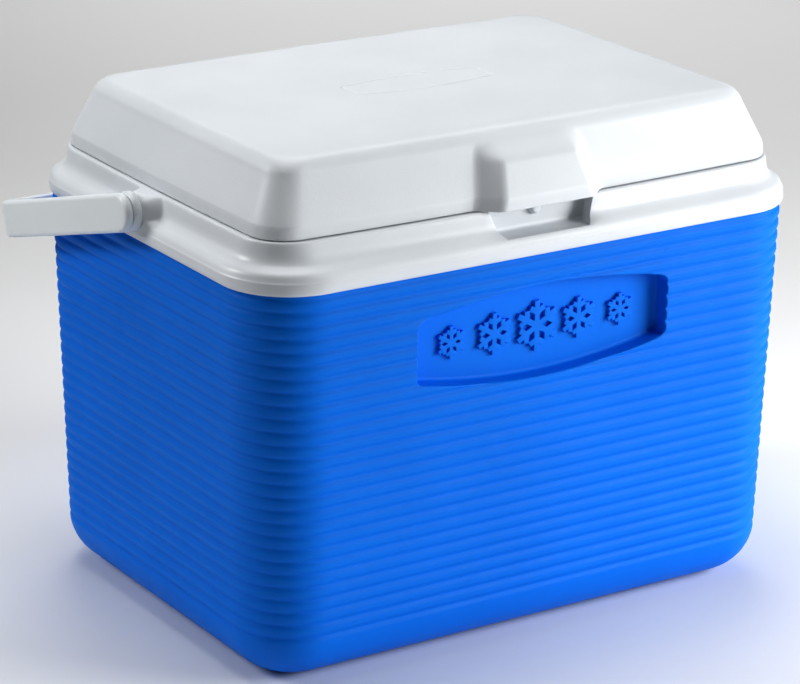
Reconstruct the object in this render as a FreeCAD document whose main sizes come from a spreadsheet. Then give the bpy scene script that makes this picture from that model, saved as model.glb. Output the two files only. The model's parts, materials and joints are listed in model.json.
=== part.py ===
import FreeCAD, Part
import math
import os
import Sketcher

# Cooler chest: a foam-filled tub with a white rim collar, a hinged lid and one swinging bail handle.
# Frame: X along the long side, Y to the back, Z up. The origin is the middle of the base.

Vector = FreeCAD.Vector
X_AXIS = Vector(1, 0, 0)
SIDES = {"left": -1, "right": 1}

SIZES = [
    ("base_half_length", 204.3, "shell half length, carried down to the base plane"),
    ("base_half_width", 148.8, "shell half width, carried down to the base plane"),
    ("rim_half_length", 211.4, "shell half length under the collar"),
    ("rim_half_width", 155.9, "shell half width under the collar"),
    ("rim_height", 268.2, "height where the shell's walls reach their full length and width"),
    ("base_corner", 43.4, "plan corner radius at the base"),
    ("rim_corner", 46.0, "plan corner radius under the collar"),
    ("base_fillet", 33.5, "rounding between the walls and the base"),
    ("shell_top", 272.4, "top edge of the shell, inside the collar"),
    ("shell_wall", 3.0, "shell wall"),
    ("rib_count", 26, "ribs round the shell"),
    ("rib_pitch", 8.8, "height of one rib"),
    ("rib_depth", 1.0, "rib crest above its valley"),
    ("rib_start", 34.6, "bottom of the lowest rib"),
    ("badge_half_length", 97.0, "badge recess, half length"),
    ("badge_height", 213.5, "badge recess, middle height"),
    ("badge_side", 20.5, "badge recess, half height at its ends"),
    ("badge_middle", 31.2, "badge recess, half height at its middle"),
    ("badge_floor", 142.5, "badge recess floor, distance from the middle plane"),
    ("emblem_proud", 2.6, "raised emblem above the badge floor"),
    ("emblem_pitch", 33.0, "from one ice crystal of the emblem to the next"),
    ("emblem_bar", 3.6, "width of each bar of an ice crystal"),
    ("collar_skin", 2.8, "collar wall"),
    ("collar_foot_skin", 1.6, "collar wall where it overlaps the shell"),
    ("collar_top", 298.7, "top land of the collar"),
    ("collar_land", 2.5, "thickness of the top land"),
    ("pocket_top_half", 40.5, "finger pocket, half length at the lip"),
    ("pocket_floor_half", 37.5, "finger pocket, half length at the back of its floor"),
    ("pocket_front_half", 31.0, "finger pocket, half length at the front of its floor"),
    ("pocket_floor", 278.9, "finger pocket floor height"),
    ("pocket_back", 136.5, "finger pocket back wall, distance from the middle plane"),
    ("pocket_front", 157.0, "finger pocket front edge, distance from the middle plane"),
    ("pocket_lean", 2.0, "how far the back wall leans in down to the floor"),
    ("pocket_wall", 2.5, "walls round the finger pocket"),
    ("cavity_top_length", 180.0, "food cavity half length at its mouth"),
    ("cavity_top_width", 125.0, "food cavity half width at its mouth"),
    ("cavity_base_length", 172.0, "food cavity half length at its floor"),
    ("cavity_base_width", 117.0, "food cavity half width at its floor"),
    ("cavity_top_corner", 36.0, "food cavity corner radius at its mouth"),
    ("cavity_base_corner", 30.0, "food cavity corner radius at its floor"),
    ("cavity_floor", 30.0, "food cavity floor height"),
    ("cavity_fillet", 12.0, "rounding between the cavity's walls and floor"),
    ("liner_wall", 2.2, "liner wall"),
    ("liner_flange", 9.0, "liner flange width"),
    ("lid_half_length", 198.0, "lid half length at its lower edge"),
    ("lid_half_width", 142.5, "lid half width at its lower edge"),
    ("lid_corner", 23.0, "lid corner radius at its lower edge"),
    ("lid_bottom", 299.2, "lower edge of the lid"),
    ("lid_band_top", 305.6, "height where the lid's upright lower band ends"),
    ("lid_band_lean", 0.7, "how far the band leans in"),
    ("lid_shoulder", 334.2, "height where the lid's sloping side meets its top rounding"),
    ("lid_slope", 14.0, "how far the lid's side leans in up to its shoulder"),
    ("lid_rounding", 14.8, "rounding between the lid's side and its top"),
    ("lid_side_angle", 24.3, "the side's lean from upright, in degrees"),
    ("lip_top", 328.6, "height that the latch lip's tapers are measured up to"),
    ("lid_skin", 2.6, "lid wall"),
    ("lid_gap", 0.6, "from the lid's lower edge to its pan"),
    ("long_bow", 3.6, "outward bow of the front and back edges at the parting line"),
    ("short_bow", 1.5, "outward bow of the end edges at the parting line"),
    ("lip_proud", 11.5, "latch lip beyond the lid's front"),
    ("lip_root_half", 49.0, "latch lip half length at its root, lower edge"),
    ("lip_face_half", 35.0, "latch lip half length at its face, lower edge"),
    ("lip_root_taper", 8.0, "how much shorter each half of the root is at the shoulder"),
    ("lip_face_taper", 7.0, "how much shorter each half of the face is at the shoulder"),
    ("pan_thickness", 2.3, "lid pan wall"),
    ("pan_clearance", 3.0, "gap between the lid's plug and the cavity mouth"),
    ("plug_bottom", 288.0, "underside of the lid's plug"),
    ("hinge_back", 150.0, "hinge axis, distance from the middle plane"),
    ("hinge_height", 301.0, "hinge axis height"),
    ("hinge_middle", 105.0, "middle of each hinge along the long side"),
    ("knuckle_radius", 4.5, "hinge knuckle radius"),
    ("knuckle_length", 40.0, "lid knuckle length"),
    ("ear_length", 11.5, "collar ear length"),
    ("ear_gap", 0.5, "gap between a knuckle and an ear"),
    ("hinge_pin_radius", 2.5, "hinge pin radius"),
    ("pivot_height", 285.8, "bail pivot height"),
    ("bail_tilt", 16.2, "how far the bail hangs below level at rest, degrees"),
    ("bail_face", 227.0, "outer face of each arm, distance from the middle plane"),
    ("arm_thickness", 6.3, "bail arm thickness"),
    ("bail_width", 25.5, "bail strap width"),
    ("bail_reach", 179.7, "pivot to the outside of the grip"),
    ("grip_thickness", 14.5, "thickness of the grip bar"),
    ("bail_corner", 14.6, "outside corner between arm and grip"),
    ("bail_rounding", 3.0, "rounded outer edges of the bail"),
    ("hub_radius", 13.2, "pivot hub ring radius"),
    ("hub_thickness", 5.0, "pivot hub ring thickness"),
    ("pivot_radius", 6.0, "pivot pin radius"),
    ("pivot_inner", 194.0, "inner end of the pivot pins, distance from the middle plane"),
    ("pad_face", 214.6, "collar pad behind each hub, distance from the middle plane"),
    ("pad_inner", 198.0, "inner end of the collar's pivot boss"),
    ("boss_radius", 12.9, "radius of the collar's pivot boss"),
    ("spigot_depth", 4.0, "how far the hub's spigot goes into the arm"),
    ("running_gap", 0.06, "radial clearance of pins that turn"),
    ("clip_radius", 10.0, "pivot clip radius"),
    ("clip_thickness", 1.5, "pivot clip thickness"),
    ("peg_radius", 3.9, "catch peg radius"),
    ("peg_height", 291.2, "catch peg height"),
    ("peg_tip", 141.5, "catch peg tip, distance from the middle plane"),
    ("fill_radius", 9.0, "foam fill plug radius"),
    ("fill_offset", 110.0, "foam fill plugs, distance from the middle along the long side"),
    ("fill_disc", 2.2, "thickness of a fill plug's disc"),
    ("fill_stem", 9.0, "height of a fill plug's stem"),
    ("fill_stem_radius", 5.0, "radius of a fill plug's stem"),
    ("fill_clearance", 0.1, "gap round a fill plug's disc"),
    ("foam_gap", 0.3, "gap between the foam and the pieces round it"),
]

# The collar's outer side, from its lower edge to its top edge:
# height, half length, plan corner radius, and how much of the full edge bow it has.
COLLAR_PROFILE = [
    (267.1, 212.4, 47.2, 0.06),
    (268.4, 213.3, 49.0, 0.06),
    (270.5, 214.0, 51.0, 0.06),
    (272.6, 214.3, 52.0, 0.06),
    (274.6, 214.2, 52.0, 0.06),
    (276.2, 213.8, 51.6, 0.07),
    (277.5, 213.0, 50.6, 0.10),
    (279.2, 211.2, 48.0, 0.18),
    (281.8, 207.9, 43.0, 0.42),
    (284.5, 205.4, 39.0, 0.65),
    (287.5, 203.9, 36.6, 0.80),
    (291.0, 203.0, 34.6, 0.92),
    (295.0, 202.3, 32.5, 1.00),
    (297.3, 201.7, 31.0, 1.00),
    (298.3, 201.0, 30.2, 1.00),
    (298.7, 200.0, 29.4, 1.00),
]
COLLAR_LENGTH_LESS_WIDTH = 55.54
# Where a side bows outward, its ends draw in by this share of the bow.
BOW_DRAW_IN = 0.67
# A distance from the middle plane that is well outside the front and back faces.
OUTSIDE = 171.0


# ---------------------------------------------------------------- document helpers

def add_sheet(doc):
    sheet = doc.addObject("Spreadsheet::Sheet", "Sizes")
    for row, (alias, number, note) in enumerate(SIZES, start=1):
        sheet.set(f"A{row}", note)
        sheet.set(f"B{row}", str(number))
        sheet.setAlias(f"B{row}", alias)
    doc.recompute()
    return sheet


def size(alias):
    return float(FreeCAD.ActiveDocument.Sizes.get(alias))


def value(expression):
    return float(FreeCAD.ActiveDocument.Sizes.evalExpression(expression))


def code_part(doc, label, shape):
    part = doc.addObject("Part::Feature", label)
    part.Label = label
    part.Shape = shape
    return part


def new_body(doc, label):
    body = doc.addObject("PartDesign::Body", label)
    body.Label = label
    return body


def new_sketch(body, name, role, offset):
    sketch = body.newObject("Sketcher::SketchObject", name)
    plane = next(item for item in body.Origin.OriginFeatures if item.Role == role)
    sketch.AttachmentSupport = (plane, [""])
    sketch.MapMode = "FlatFace"
    sketch.setExpression("AttachmentOffset.Base.z", offset)
    return sketch


def bind(sketch, kind, places, name, expression):
    index = sketch.addConstraint(Sketcher.Constraint(kind, *places, value(expression)))
    sketch.renameConstraint(index, name)
    sketch.setExpression(f"Constraints.{name}", expression)


def circle_sketch(body, name, role, offset, centre, radius):
    """A circle; centre holds the expressions of its two sketch coordinates."""
    sketch = new_sketch(body, name, role, offset)
    across, up = centre
    middle = Vector(value(across), value(up), 0)
    sketch.addGeometry(Part.Circle(middle, Vector(0, 0, 1), value(radius)), False)
    if across == "0":
        sketch.addConstraint(Sketcher.Constraint("PointOnObject", 0, 3, -2))
    else:
        bind(sketch, "DistanceX", (-1, 1, 0, 3), "across", across)
    if up == "0":
        sketch.addConstraint(Sketcher.Constraint("PointOnObject", 0, 3, -1))
    else:
        bind(sketch, "DistanceY", (-1, 1, 0, 3), "up", up)
    bind(sketch, "Radius", (0,), "radius", radius)
    return sketch


def rounded_sketch(body, name, offset, half_x, half_y, corner):
    """A rounded rectangle about the Z axis."""
    sketch = new_sketch(body, name, "XY_Plane", offset)
    a = value(half_x)
    b = value(half_y)
    r = value(corner)
    corners = [(a, -b), (a, b), (-a, b), (-a, -b)]
    lines = []
    arcs = []
    for index, (cx, cy) in enumerate(corners):
        px, py = corners[index - 1]
        step_x = math.copysign(r, cx - px) if cx != px else 0
        step_y = math.copysign(r, cy - py) if cy != py else 0
        start = Vector(px + step_x, py + step_y, 0)
        end = Vector(cx - step_x, cy - step_y, 0)
        lines.append(Part.LineSegment(start, end))
        centre = Vector(math.copysign(a - r, cx), math.copysign(b - r, cy), 0)
        circle = Part.Circle(centre, Vector(0, 0, 1), r)
        first = math.radians(90 * index - 90)
        arcs.append(Part.ArcOfCircle(circle, first, first + math.pi / 2))
    sketch.addGeometry(lines + arcs, False)
    for index in range(4):
        sketch.addConstraint(Sketcher.Constraint("Tangent", index, 2, 4 + index, 1))
        sketch.addConstraint(Sketcher.Constraint("Tangent", 4 + index, 2, (index + 1) % 4, 1))
    for index in (0, 2):
        sketch.addConstraint(Sketcher.Constraint("Horizontal", index))
        sketch.addConstraint(Sketcher.Constraint("Vertical", index + 1))
    for index in (5, 6, 7):
        sketch.addConstraint(Sketcher.Constraint("Equal", 4, index))
    sketch.addConstraint(Sketcher.Constraint("Symmetric", 0, 1, 2, 1, -1, 1))
    bind(sketch, "DistanceX", (3, 1, 1, 1), "length", f"2 * ({half_x})")
    bind(sketch, "DistanceY", (0, 1, 2, 1), "width", f"2 * ({half_y})")
    bind(sketch, "Radius", (4,), "corner", corner)
    return sketch


def pad(body, name, sketch, length, backwards=False, midplane=False):
    feature = body.newObject("PartDesign::Pad", name)
    feature.Profile = sketch
    feature.setExpression("Length", length)
    feature.Reversed = backwards
    feature.Midplane = midplane
    body.Document.recompute()
    return feature


def pocket(body, name, sketch, length, backwards=False):
    before = body.Shape.Volume
    feature = body.newObject("PartDesign::Pocket", name)
    feature.Profile = sketch
    feature.setExpression("Length", length)
    feature.Reversed = backwards
    body.Document.recompute()
    if body.Shape.Volume >= before - 1e-3:
        raise RuntimeError(f"{body.Label}: {name} removes nothing")
    return feature


def loft(body, kind, name, sketches):
    feature = body.newObject(kind, name)
    feature.Profile = sketches[0]
    feature.Sections = sketches[1:]
    feature.Ruled = True
    body.Document.recompute()
    return feature


# ---------------------------------------------------------------- plan outlines and lofts

def outline(a, b, r, z, bow_x=0.0, bow_y=0.0):
    """A closed rounded rectangle at height z whose four sides may bow outward."""
    turn = math.sqrt(0.5)
    edges = []
    corners = [(1, -1), (1, 1), (-1, 1), (-1, -1)]
    for index, (sx, sy) in enumerate(corners):
        px, py = corners[index - 1]
        if py == sy:
            start = Vector(px * (a - r), sy * b, z)
            end = Vector(sx * (a - r), sy * b, z)
            middle = Vector(0, sy * (b + bow_y), z)
        else:
            start = Vector(sx * a, py * (b - r), z)
            end = Vector(sx * a, sy * (b - r), z)
            middle = Vector(sx * (a + bow_x), 0, z)
        bowed = bow_x > 0 or bow_y > 0
        side = Part.Arc(start, middle, end) if bowed else Part.LineSegment(start, end)
        edges.append(side.toShape())
        nx, ny = corners[(index + 1) % 4]
        leave = Vector(sx * a, sy * (b - r), z) if ny != sy else Vector(sx * (a - r), sy * b, z)
        middle = Vector(sx * (a - r + r * turn), sy * (b - r + r * turn), z)
        edges.append(Part.Arc(end, middle, leave).toShape())
    return Part.Wire(edges)


def stack(wires):
    """A closed solid through the outlines, with straight sides between neighbours."""
    solid = Part.makeLoft(wires, True, True)
    if solid.Volume < 0:
        solid.reverse()
    return solid


def box(low, high):
    spans = [high[axis] - low[axis] for axis in range(3)]
    return Part.makeBox(*spans, Vector(*low))


# ---------------------------------------------------------------- outer shell

def wall_sections(inset, z):
    """Shell half length, half width and corner radius at height z, moved in by inset."""
    share = z / size("rim_height")
    a = size("base_half_length") + share * (size("rim_half_length") - size("base_half_length"))
    b = size("base_half_width") + share * (size("rim_half_width") - size("base_half_width"))
    r = size("base_corner") + share * (size("rim_corner") - size("base_corner"))
    return a - inset, b - inset, max(r - inset, 9.0)


def base_wires(inset, floor, radius):
    """Outlines of the rounded foot of the tub, from its flat base up to the wall."""
    wires = []
    for angle in (0, 18, 36, 54, 72, 90):
        turn = math.radians(angle)
        z = floor + radius * (1 - math.cos(turn))
        wires.append(outline(*wall_sections(inset + radius * (1 - math.sin(turn)), z), z))
    return wires


def shell_outside():
    wires = base_wires(0.0, 0.0, size("base_fillet"))
    pitch = size("rib_pitch")
    for rib in range(int(size("rib_count"))):
        low = size("rib_start") + rib * pitch
        wires.append(outline(*wall_sections(size("rib_depth"), low), low))
        crest = low + 0.5 * pitch
        wires.append(outline(*wall_sections(0.0, crest), crest))
    top_valley = size("rib_start") + size("rib_count") * pitch
    wires.append(outline(*wall_sections(size("rib_depth"), top_valley), top_valley))
    wires.append(outline(*wall_sections(size("rib_depth"), size("shell_top")), size("shell_top")))
    return stack(wires)


def shell_inside(inset, floor, top):
    wires = base_wires(inset, floor, size("base_fillet") - size("shell_wall"))
    wires.append(outline(*wall_sections(inset, top), top))
    return stack(wires)


def badge_prism(grow, front, floor):
    """The bowed badge outline, grown all round, between two depths in front of the middle plane."""
    half = size("badge_half_length") + grow
    side = size("badge_side") + grow
    middle = size("badge_middle") + grow
    height = size("badge_height")
    left_low = Vector(-half, -front, height - side)
    left_high = Vector(-half, -front, height + side)
    right_low = Vector(half, -front, height - side)
    right_high = Vector(half, -front, height + side)
    edges = [
        Part.Arc(left_low, Vector(0, -front, height - middle), right_low).toShape(),
        Part.LineSegment(right_low, right_high).toShape(),
        Part.Arc(right_high, Vector(0, -front, height + middle), left_high).toShape(),
        Part.LineSegment(left_high, left_low).toShape(),
    ]
    return Part.Face(Part.Wire(edges)).extrude(Vector(0, front - floor, 0))


def emblem():
    """A generic row of ice crystals: three bars crossing in each."""
    bars = []
    proud = size("emblem_proud")
    floor = size("badge_floor")
    half = size("emblem_bar") / 2
    for step, reach in ((-2, 11.0), (-1, 14.0), (0, 17.0), (1, 14.0), (2, 11.0)):
        centre = Vector(step * size("emblem_pitch"), 0, size("badge_height"))
        for angle in (0, 60, 120):
            bar = box((-half, -floor - proud, -reach), (half, -floor + 0.5, reach))
            bar.rotate(Vector(0, 0, 0), Vector(0, 1, 0), angle)
            bar.translate(centre)
            bars.append(bar)
    return bars


def make_outer_shell(doc):
    wall = size("shell_wall")
    outside = shell_outside()
    hollow = shell_inside(wall + size("rib_depth"), wall, size("shell_top") + 1)
    housing = badge_prism(wall, OUTSIDE - 1, size("badge_floor") - wall).common(outside)
    shape = outside.cut(hollow).fuse(housing)
    shape = shape.cut(badge_prism(0.0, OUTSIDE, size("badge_floor")))
    shape = shape.fuse(emblem())
    fill_hole = Vector(size("fill_offset"), 0, -wall)
    shape = shape.cut(Part.makeCylinder(size("fill_radius"), 3 * wall, fill_hole))
    return code_part(doc, "outer_shell", shape)


# ---------------------------------------------------------------- rim collar

def offset_profile(extra):
    """The collar's inner side moved inwards by extra, as height, half length, corner, bow.

    The skin is thinner at its foot, where it overlaps the shell's top edge."""
    moved = []
    last = len(COLLAR_PROFILE) - 1
    for index, (z, a, r, bow) in enumerate(COLLAR_PROFILE):
        before = COLLAR_PROFILE[max(index - 1, 0)]
        after = COLLAR_PROFILE[min(index + 1, last)]
        rise = after[0] - before[0]
        run = after[1] - before[1]
        span = math.hypot(rise, run)
        if z < size("shell_top") + 1:
            distance = size("collar_foot_skin") + extra
        else:
            distance = size("collar_skin") + extra
        moved.append((z + distance * run / span, a - distance * rise / span, r - distance, bow))
    return moved


def collar_wires(profile):
    wires = []
    for z, a, r, bow in profile:
        bow_x = bow * size("short_bow")
        bow_y = bow * size("long_bow")
        b = a - COLLAR_LENGTH_LESS_WIDTH
        wires.append(outline(a - BOW_DRAW_IN * bow_x, b - BOW_DRAW_IN * bow_y, r, z, bow_x, bow_y))
    return wires


def collar_inside(gap, top):
    """The space inside the collar's skin, from below its lower edge up to height top."""
    profile = [row for row in offset_profile(gap) if row[0] < top - 0.5]
    z, a, r, bow = profile[-1]
    profile.append((top, a, r, bow))
    first = profile[0]
    profile.insert(0, (first[0] - 5, first[1] - 0.2, first[2], first[3]))
    return stack(collar_wires(profile))


def pocket_solid(grow):
    """The finger pocket under the latch lip, grown on its back, sides and floor."""
    top = size("collar_top") + 0.5
    floor = size("pocket_floor") - grow
    back = -size("pocket_back") + grow
    front = -OUTSIDE
    lean = size("pocket_lean")
    depth = size("pocket_front") - size("pocket_back") - lean
    slant = (size("pocket_floor_half") - size("pocket_front_half")) / depth
    half_back = size("pocket_floor_half") + grow
    half_front = size("pocket_front_half") - slant * (OUTSIDE - size("pocket_front")) + grow
    half_top = size("pocket_top_half") + grow
    lower = [
        Vector(-half_back, back - lean, floor), Vector(half_back, back - lean, floor),
        Vector(half_front, front, floor), Vector(-half_front, front, floor),
    ]
    upper = [
        Vector(-half_top, back, top), Vector(half_top, back, top),
        Vector(half_top, front, top), Vector(-half_top, front, top),
    ]
    return stack([Part.makePolygon(ring + [ring[0]]) for ring in (lower, upper)])


def along_x(radius, x_from, x_to, y, z):
    """A cylinder along X between two x values."""
    start = min(x_from, x_to)
    return Part.makeCylinder(radius, abs(x_to - x_from), Vector(start, y, z), X_AXIS)


def hinge_ears():
    ears = []
    y = size("hinge_back")
    z = size("hinge_height")
    radius = size("knuckle_radius") + 0.5
    for side in SIDES.values():
        for edge in (-1, 1):
            near = size("knuckle_length") / 2 + size("ear_gap")
            far = near + size("ear_length")
            x_near = side * size("hinge_middle") + edge * near
            x_far = side * size("hinge_middle") + edge * far
            low_x = min(x_near, x_far)
            high_x = max(x_near, x_far)
            ears.append(along_x(radius, low_x, high_x, y, z))
            ears.append(box((low_x, y - 5.6, z - 16), (high_x, y + radius, z)))
    return ears


def make_rim_collar(doc):
    land = size("collar_land")
    skin = stack(collar_wires(COLLAR_PROFILE))
    outside = skin.copy()
    hollow = collar_inside(0.0, size("collar_top") - land)
    shape = skin.cut(hollow)
    bosses = []
    for side in SIDES.values():
        bosses.append(along_x(size("boss_radius"), side * size("pad_inner"), side * size("pad_face"),
                              0, size("pivot_height")))
    shape = shape.fuse(pocket_solid(size("pocket_wall")).common(outside))
    shape = shape.fuse(bosses).fuse(hinge_ears())
    mouth = stack([
        outline(size("cavity_top_length"), size("cavity_top_width"), size("cavity_top_corner"), z)
        for z in (250.0, 305.0)
    ])
    cuts = [mouth, pocket_solid(0.0)]
    bore = size("pivot_radius") + size("running_gap")
    for side in SIDES.values():
        cuts.append(along_x(bore, side * 190, side * 220, 0, size("pivot_height")))
        face = side * size("pad_face")
        outer = side * 222.0
        cuts.append(box((min(face, outer), -24, 265), (max(face, outer), 24, 300)))
        middle = side * size("hinge_middle")
        cuts.append(along_x(size("hinge_pin_radius"), middle - 40, middle + 40,
                            size("hinge_back"), size("hinge_height")))
    cuts.append(Part.makeCylinder(size("peg_radius"), 12, Vector(0, -128, size("peg_height")),
                                  Vector(0, -1, 0)))
    return code_part(doc, "rim_collar", shape.cut(cuts))


# ---------------------------------------------------------------- liner and insulation

def tub_sketches(body, prefix, wall, radius, floor, top):
    """Outlines of a tapered tub with a rounded foot; all but prefix are expressions."""
    sketches = []
    for angle in (0, 30, 60, 90):
        turn = math.radians(angle)
        rise = f"({radius}) * {1 - math.cos(turn):.4f}"
        back = f"({radius}) * {1 - math.sin(turn):.4f}"
        sketches.append(tub_sketch(body, f"{prefix}_foot_{angle}", f"({wall}) - {back}",
                                   f"{floor} + {rise}"))
    sketches.append(tub_sketch(body, f"{prefix}_mouth", f"({wall})", top))
    return sketches


def tub_sketch(body, name, grow, height):
    """The food cavity's outline at one height, grown all round."""
    share = f"(({height}) - Sizes.cavity_floor) / (Sizes.collar_top - Sizes.cavity_floor)"
    ends = {}
    for measure in ("length", "width", "corner"):
        base = f"Sizes.cavity_base_{measure}"
        mouth = f"Sizes.cavity_top_{measure}"
        ends[measure] = f"{base} + {share} * ({mouth} - {base}) + {grow}"
    return rounded_sketch(body, name, height, ends["length"], ends["width"], ends["corner"])


def make_inner_liner(doc):
    body = new_body(doc, "inner_liner")
    wall = "Sizes.liner_wall"
    top = "Sizes.collar_top - Sizes.collar_land"
    outside = tub_sketches(body, "outside", wall, f"Sizes.cavity_fillet + {wall}",
                           f"Sizes.cavity_floor - {wall}", top)
    loft(body, "PartDesign::AdditiveLoft", "tub", outside)
    flange = rounded_sketch(body, "flange_outline", top,
                            "Sizes.cavity_top_length + Sizes.liner_flange",
                            "Sizes.cavity_top_width + Sizes.liner_flange",
                            "Sizes.cavity_top_corner + Sizes.liner_flange")
    pad(body, "flange", flange, "Sizes.collar_land", backwards=True)
    cavity = tub_sketches(body, "cavity", "0", "Sizes.cavity_fillet", "Sizes.cavity_floor", top)
    loft(body, "PartDesign::SubtractiveLoft", "cavity", cavity)
    return body


def add_fillet(body, name, edges, radius):
    fillet = body.newObject("PartDesign::Fillet", name)
    fillet.Base = (fillet.BaseFeature, edges)
    fillet.setExpression("Radius", radius)
    body.Document.recompute()
    return fillet


def liner_filled():
    """The liner's outer form as one plain solid, with its flange, a little larger all round."""
    gap = 0.2
    wall = size("liner_wall") + gap
    top = size("collar_top") - size("collar_land")
    low = size("cavity_floor") - wall
    tub = stack([
        outline(size("cavity_base_length") + wall, size("cavity_base_width") + wall,
                size("cavity_base_corner") + wall, low),
        outline(size("cavity_top_length") + wall, size("cavity_top_width") + wall,
                size("cavity_top_corner") + wall, top + 1),
    ])
    reach = size("liner_flange") + gap
    flange = stack([
        outline(size("cavity_top_length") + reach, size("cavity_top_width") + reach,
                size("cavity_top_corner") + reach, z)
        for z in (top - size("collar_land") - gap, top + 1)
    ])
    return tub.fuse(flange)


def make_body_insulation(doc):
    gap = size("foam_gap")
    inset = size("shell_wall") + size("rib_depth") + gap
    lower = shell_inside(inset, size("shell_wall") + gap, size("shell_top") + gap)
    upper = collar_inside(gap, size("collar_top") - size("collar_land") - gap)
    upper = upper.common(box((-230, -180, size("shell_top") + gap), (230, 180, 300)))
    foam = lower.fuse(upper)
    foam = foam.cut(liner_filled())
    foam = foam.cut(badge_prism(size("shell_wall") + gap, OUTSIDE,
                                size("badge_floor") - size("shell_wall") - gap))
    foam = foam.cut(pocket_solid(size("pocket_wall") + gap))
    clears = []
    for side in SIDES.values():
        clears.append(along_x(size("boss_radius") + gap, side * 190, side * 220, 0,
                              size("pivot_height")))
        middle = side * size("hinge_middle")
        span = size("knuckle_length") / 2 + size("ear_gap") + size("ear_length") + gap
        clears.append(box((middle - span, size("hinge_back") - 6, 284), (middle + span, 165, 300)))
    clears.append(fill_space(0.0))
    clears.append(Part.makeCylinder(size("peg_radius") + gap, 12, Vector(0, -128, size("peg_height")),
                                    Vector(0, -1, 0)))
    return code_part(doc, "body_insulation", largest_solid(foam.cut(clears)))


def fill_space(underside):
    """The room that a foam fill plug needs above height underside."""
    radius = size("fill_radius") + size("foam_gap")
    height = size("fill_stem") + 1.0 + size("foam_gap")
    return Part.makeCylinder(radius, height, Vector(size("fill_offset"), 0, underside))


def largest_solid(shape):
    return max(shape.Solids, key=lambda solid: solid.Volume)


# ---------------------------------------------------------------- lid

def lid_profile(inset):
    """Height, half length, half width and corner radius up the lid's side, moved in by inset."""
    a = size("lid_half_length") - inset
    b = size("lid_half_width") - inset
    bottom = size("lid_bottom")
    rounding = size("lid_rounding")
    lean = size("lid_band_lean")
    corner = size("lid_corner")
    start = math.radians(size("lid_side_angle"))
    rows = [
        (bottom, a - 0.5, b - 0.5, corner - 0.5),
        (bottom + 0.8, a, b, corner),
        (size("lid_band_top"), a - lean, b - lean, corner),
    ]
    centre = size("lid_shoulder") - rounding * math.sin(start)
    for part in range(6):
        turn = start + (math.pi / 2 - start) * part / 5
        back = size("lid_slope") + rounding * math.cos(start) - (rounding - inset) * math.cos(turn) - inset
        z = centre + (rounding - inset) * math.sin(turn)
        rows.append((z, a - back, b - back, max(corner + 3 - 0.5 * back, 14.0)))
    return rows


def lid_block(inset, bottom):
    """The lid's outer form moved in by inset; its bows fade to 40 % at the top."""
    height = lid_profile(0.0)[-1][0] - size("lid_bottom")
    wires = []
    for row, (z, a, b, r) in enumerate(lid_profile(inset)):
        if row == 0:
            z = bottom
        share = 1.0 - 0.6 * (z - size("lid_bottom")) / height
        bow_x = size("short_bow") * share
        bow_y = size("long_bow") * share
        wires.append(outline(a - BOW_DRAW_IN * bow_x, b - BOW_DRAW_IN * bow_y, r, z, bow_x, bow_y))
    return stack(wires)


def lip_ring(z, b, inset):
    """Plan outline of the latch lip at height z, where b is the lid's half width there."""
    rise = (z - size("lid_bottom")) / (size("lip_top") - size("lid_bottom"))
    root = size("lip_root_half") - size("lip_root_taper") * rise - inset
    face = size("lip_face_half") - size("lip_face_taper") * rise - inset
    front = b + size("lip_proud") + 1.2 * (1 - 0.6 * rise) - inset
    inner = b - 14.0
    ring = [
        Vector(-root, -inner, z), Vector(root, -inner, z), Vector(root, -b + 0.5, z),
        Vector(face, -front, z), Vector(-face, -front, z), Vector(-root, -b + 0.5, z),
    ]
    return Part.makePolygon(ring + [ring[0]])


def lip_block():
    """The latch lip: a bulge on the lid's front with sloping flanks."""
    return stack([lip_ring(z, b, 0.0) for z, a, b, r in lid_profile(0.0)])


def lip_hollow():
    """The space inside the lip, closed at its underside."""
    low = size("lid_bottom") + 4.0
    high = size("lid_shoulder")
    low_b = size("lid_half_width")
    high_b = low_b - size("lid_slope")
    return stack([lip_ring(low, low_b, size("lid_skin")), lip_ring(high, high_b, size("lid_skin"))])


def make_lid_shell(doc):
    skin = size("lid_skin")
    bottom = size("lid_bottom")
    outside = lid_block(0.0, bottom).fuse(lip_block())
    hollows = [lid_block(skin, bottom - 1), lip_hollow()]
    knuckles = []
    bores = []
    y = size("hinge_back")
    z = size("hinge_height")
    for side in SIDES.values():
        middle = side * size("hinge_middle")
        half = size("knuckle_length") / 2
        knuckles.append(along_x(size("knuckle_radius"), middle - half, middle + half, y, z))
        knuckles.append(box((middle - half, 140.2, z - 0.8), (middle + half, y, z + 3.6)))
        bores.append(along_x(size("hinge_pin_radius") + size("running_gap"), middle - half - 5,
                             middle + half + 5, y, z))
    shape = outside.cut(hollows).fuse(knuckles).cut(bores)
    return code_part(doc, "lid_shell", shape)


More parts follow.
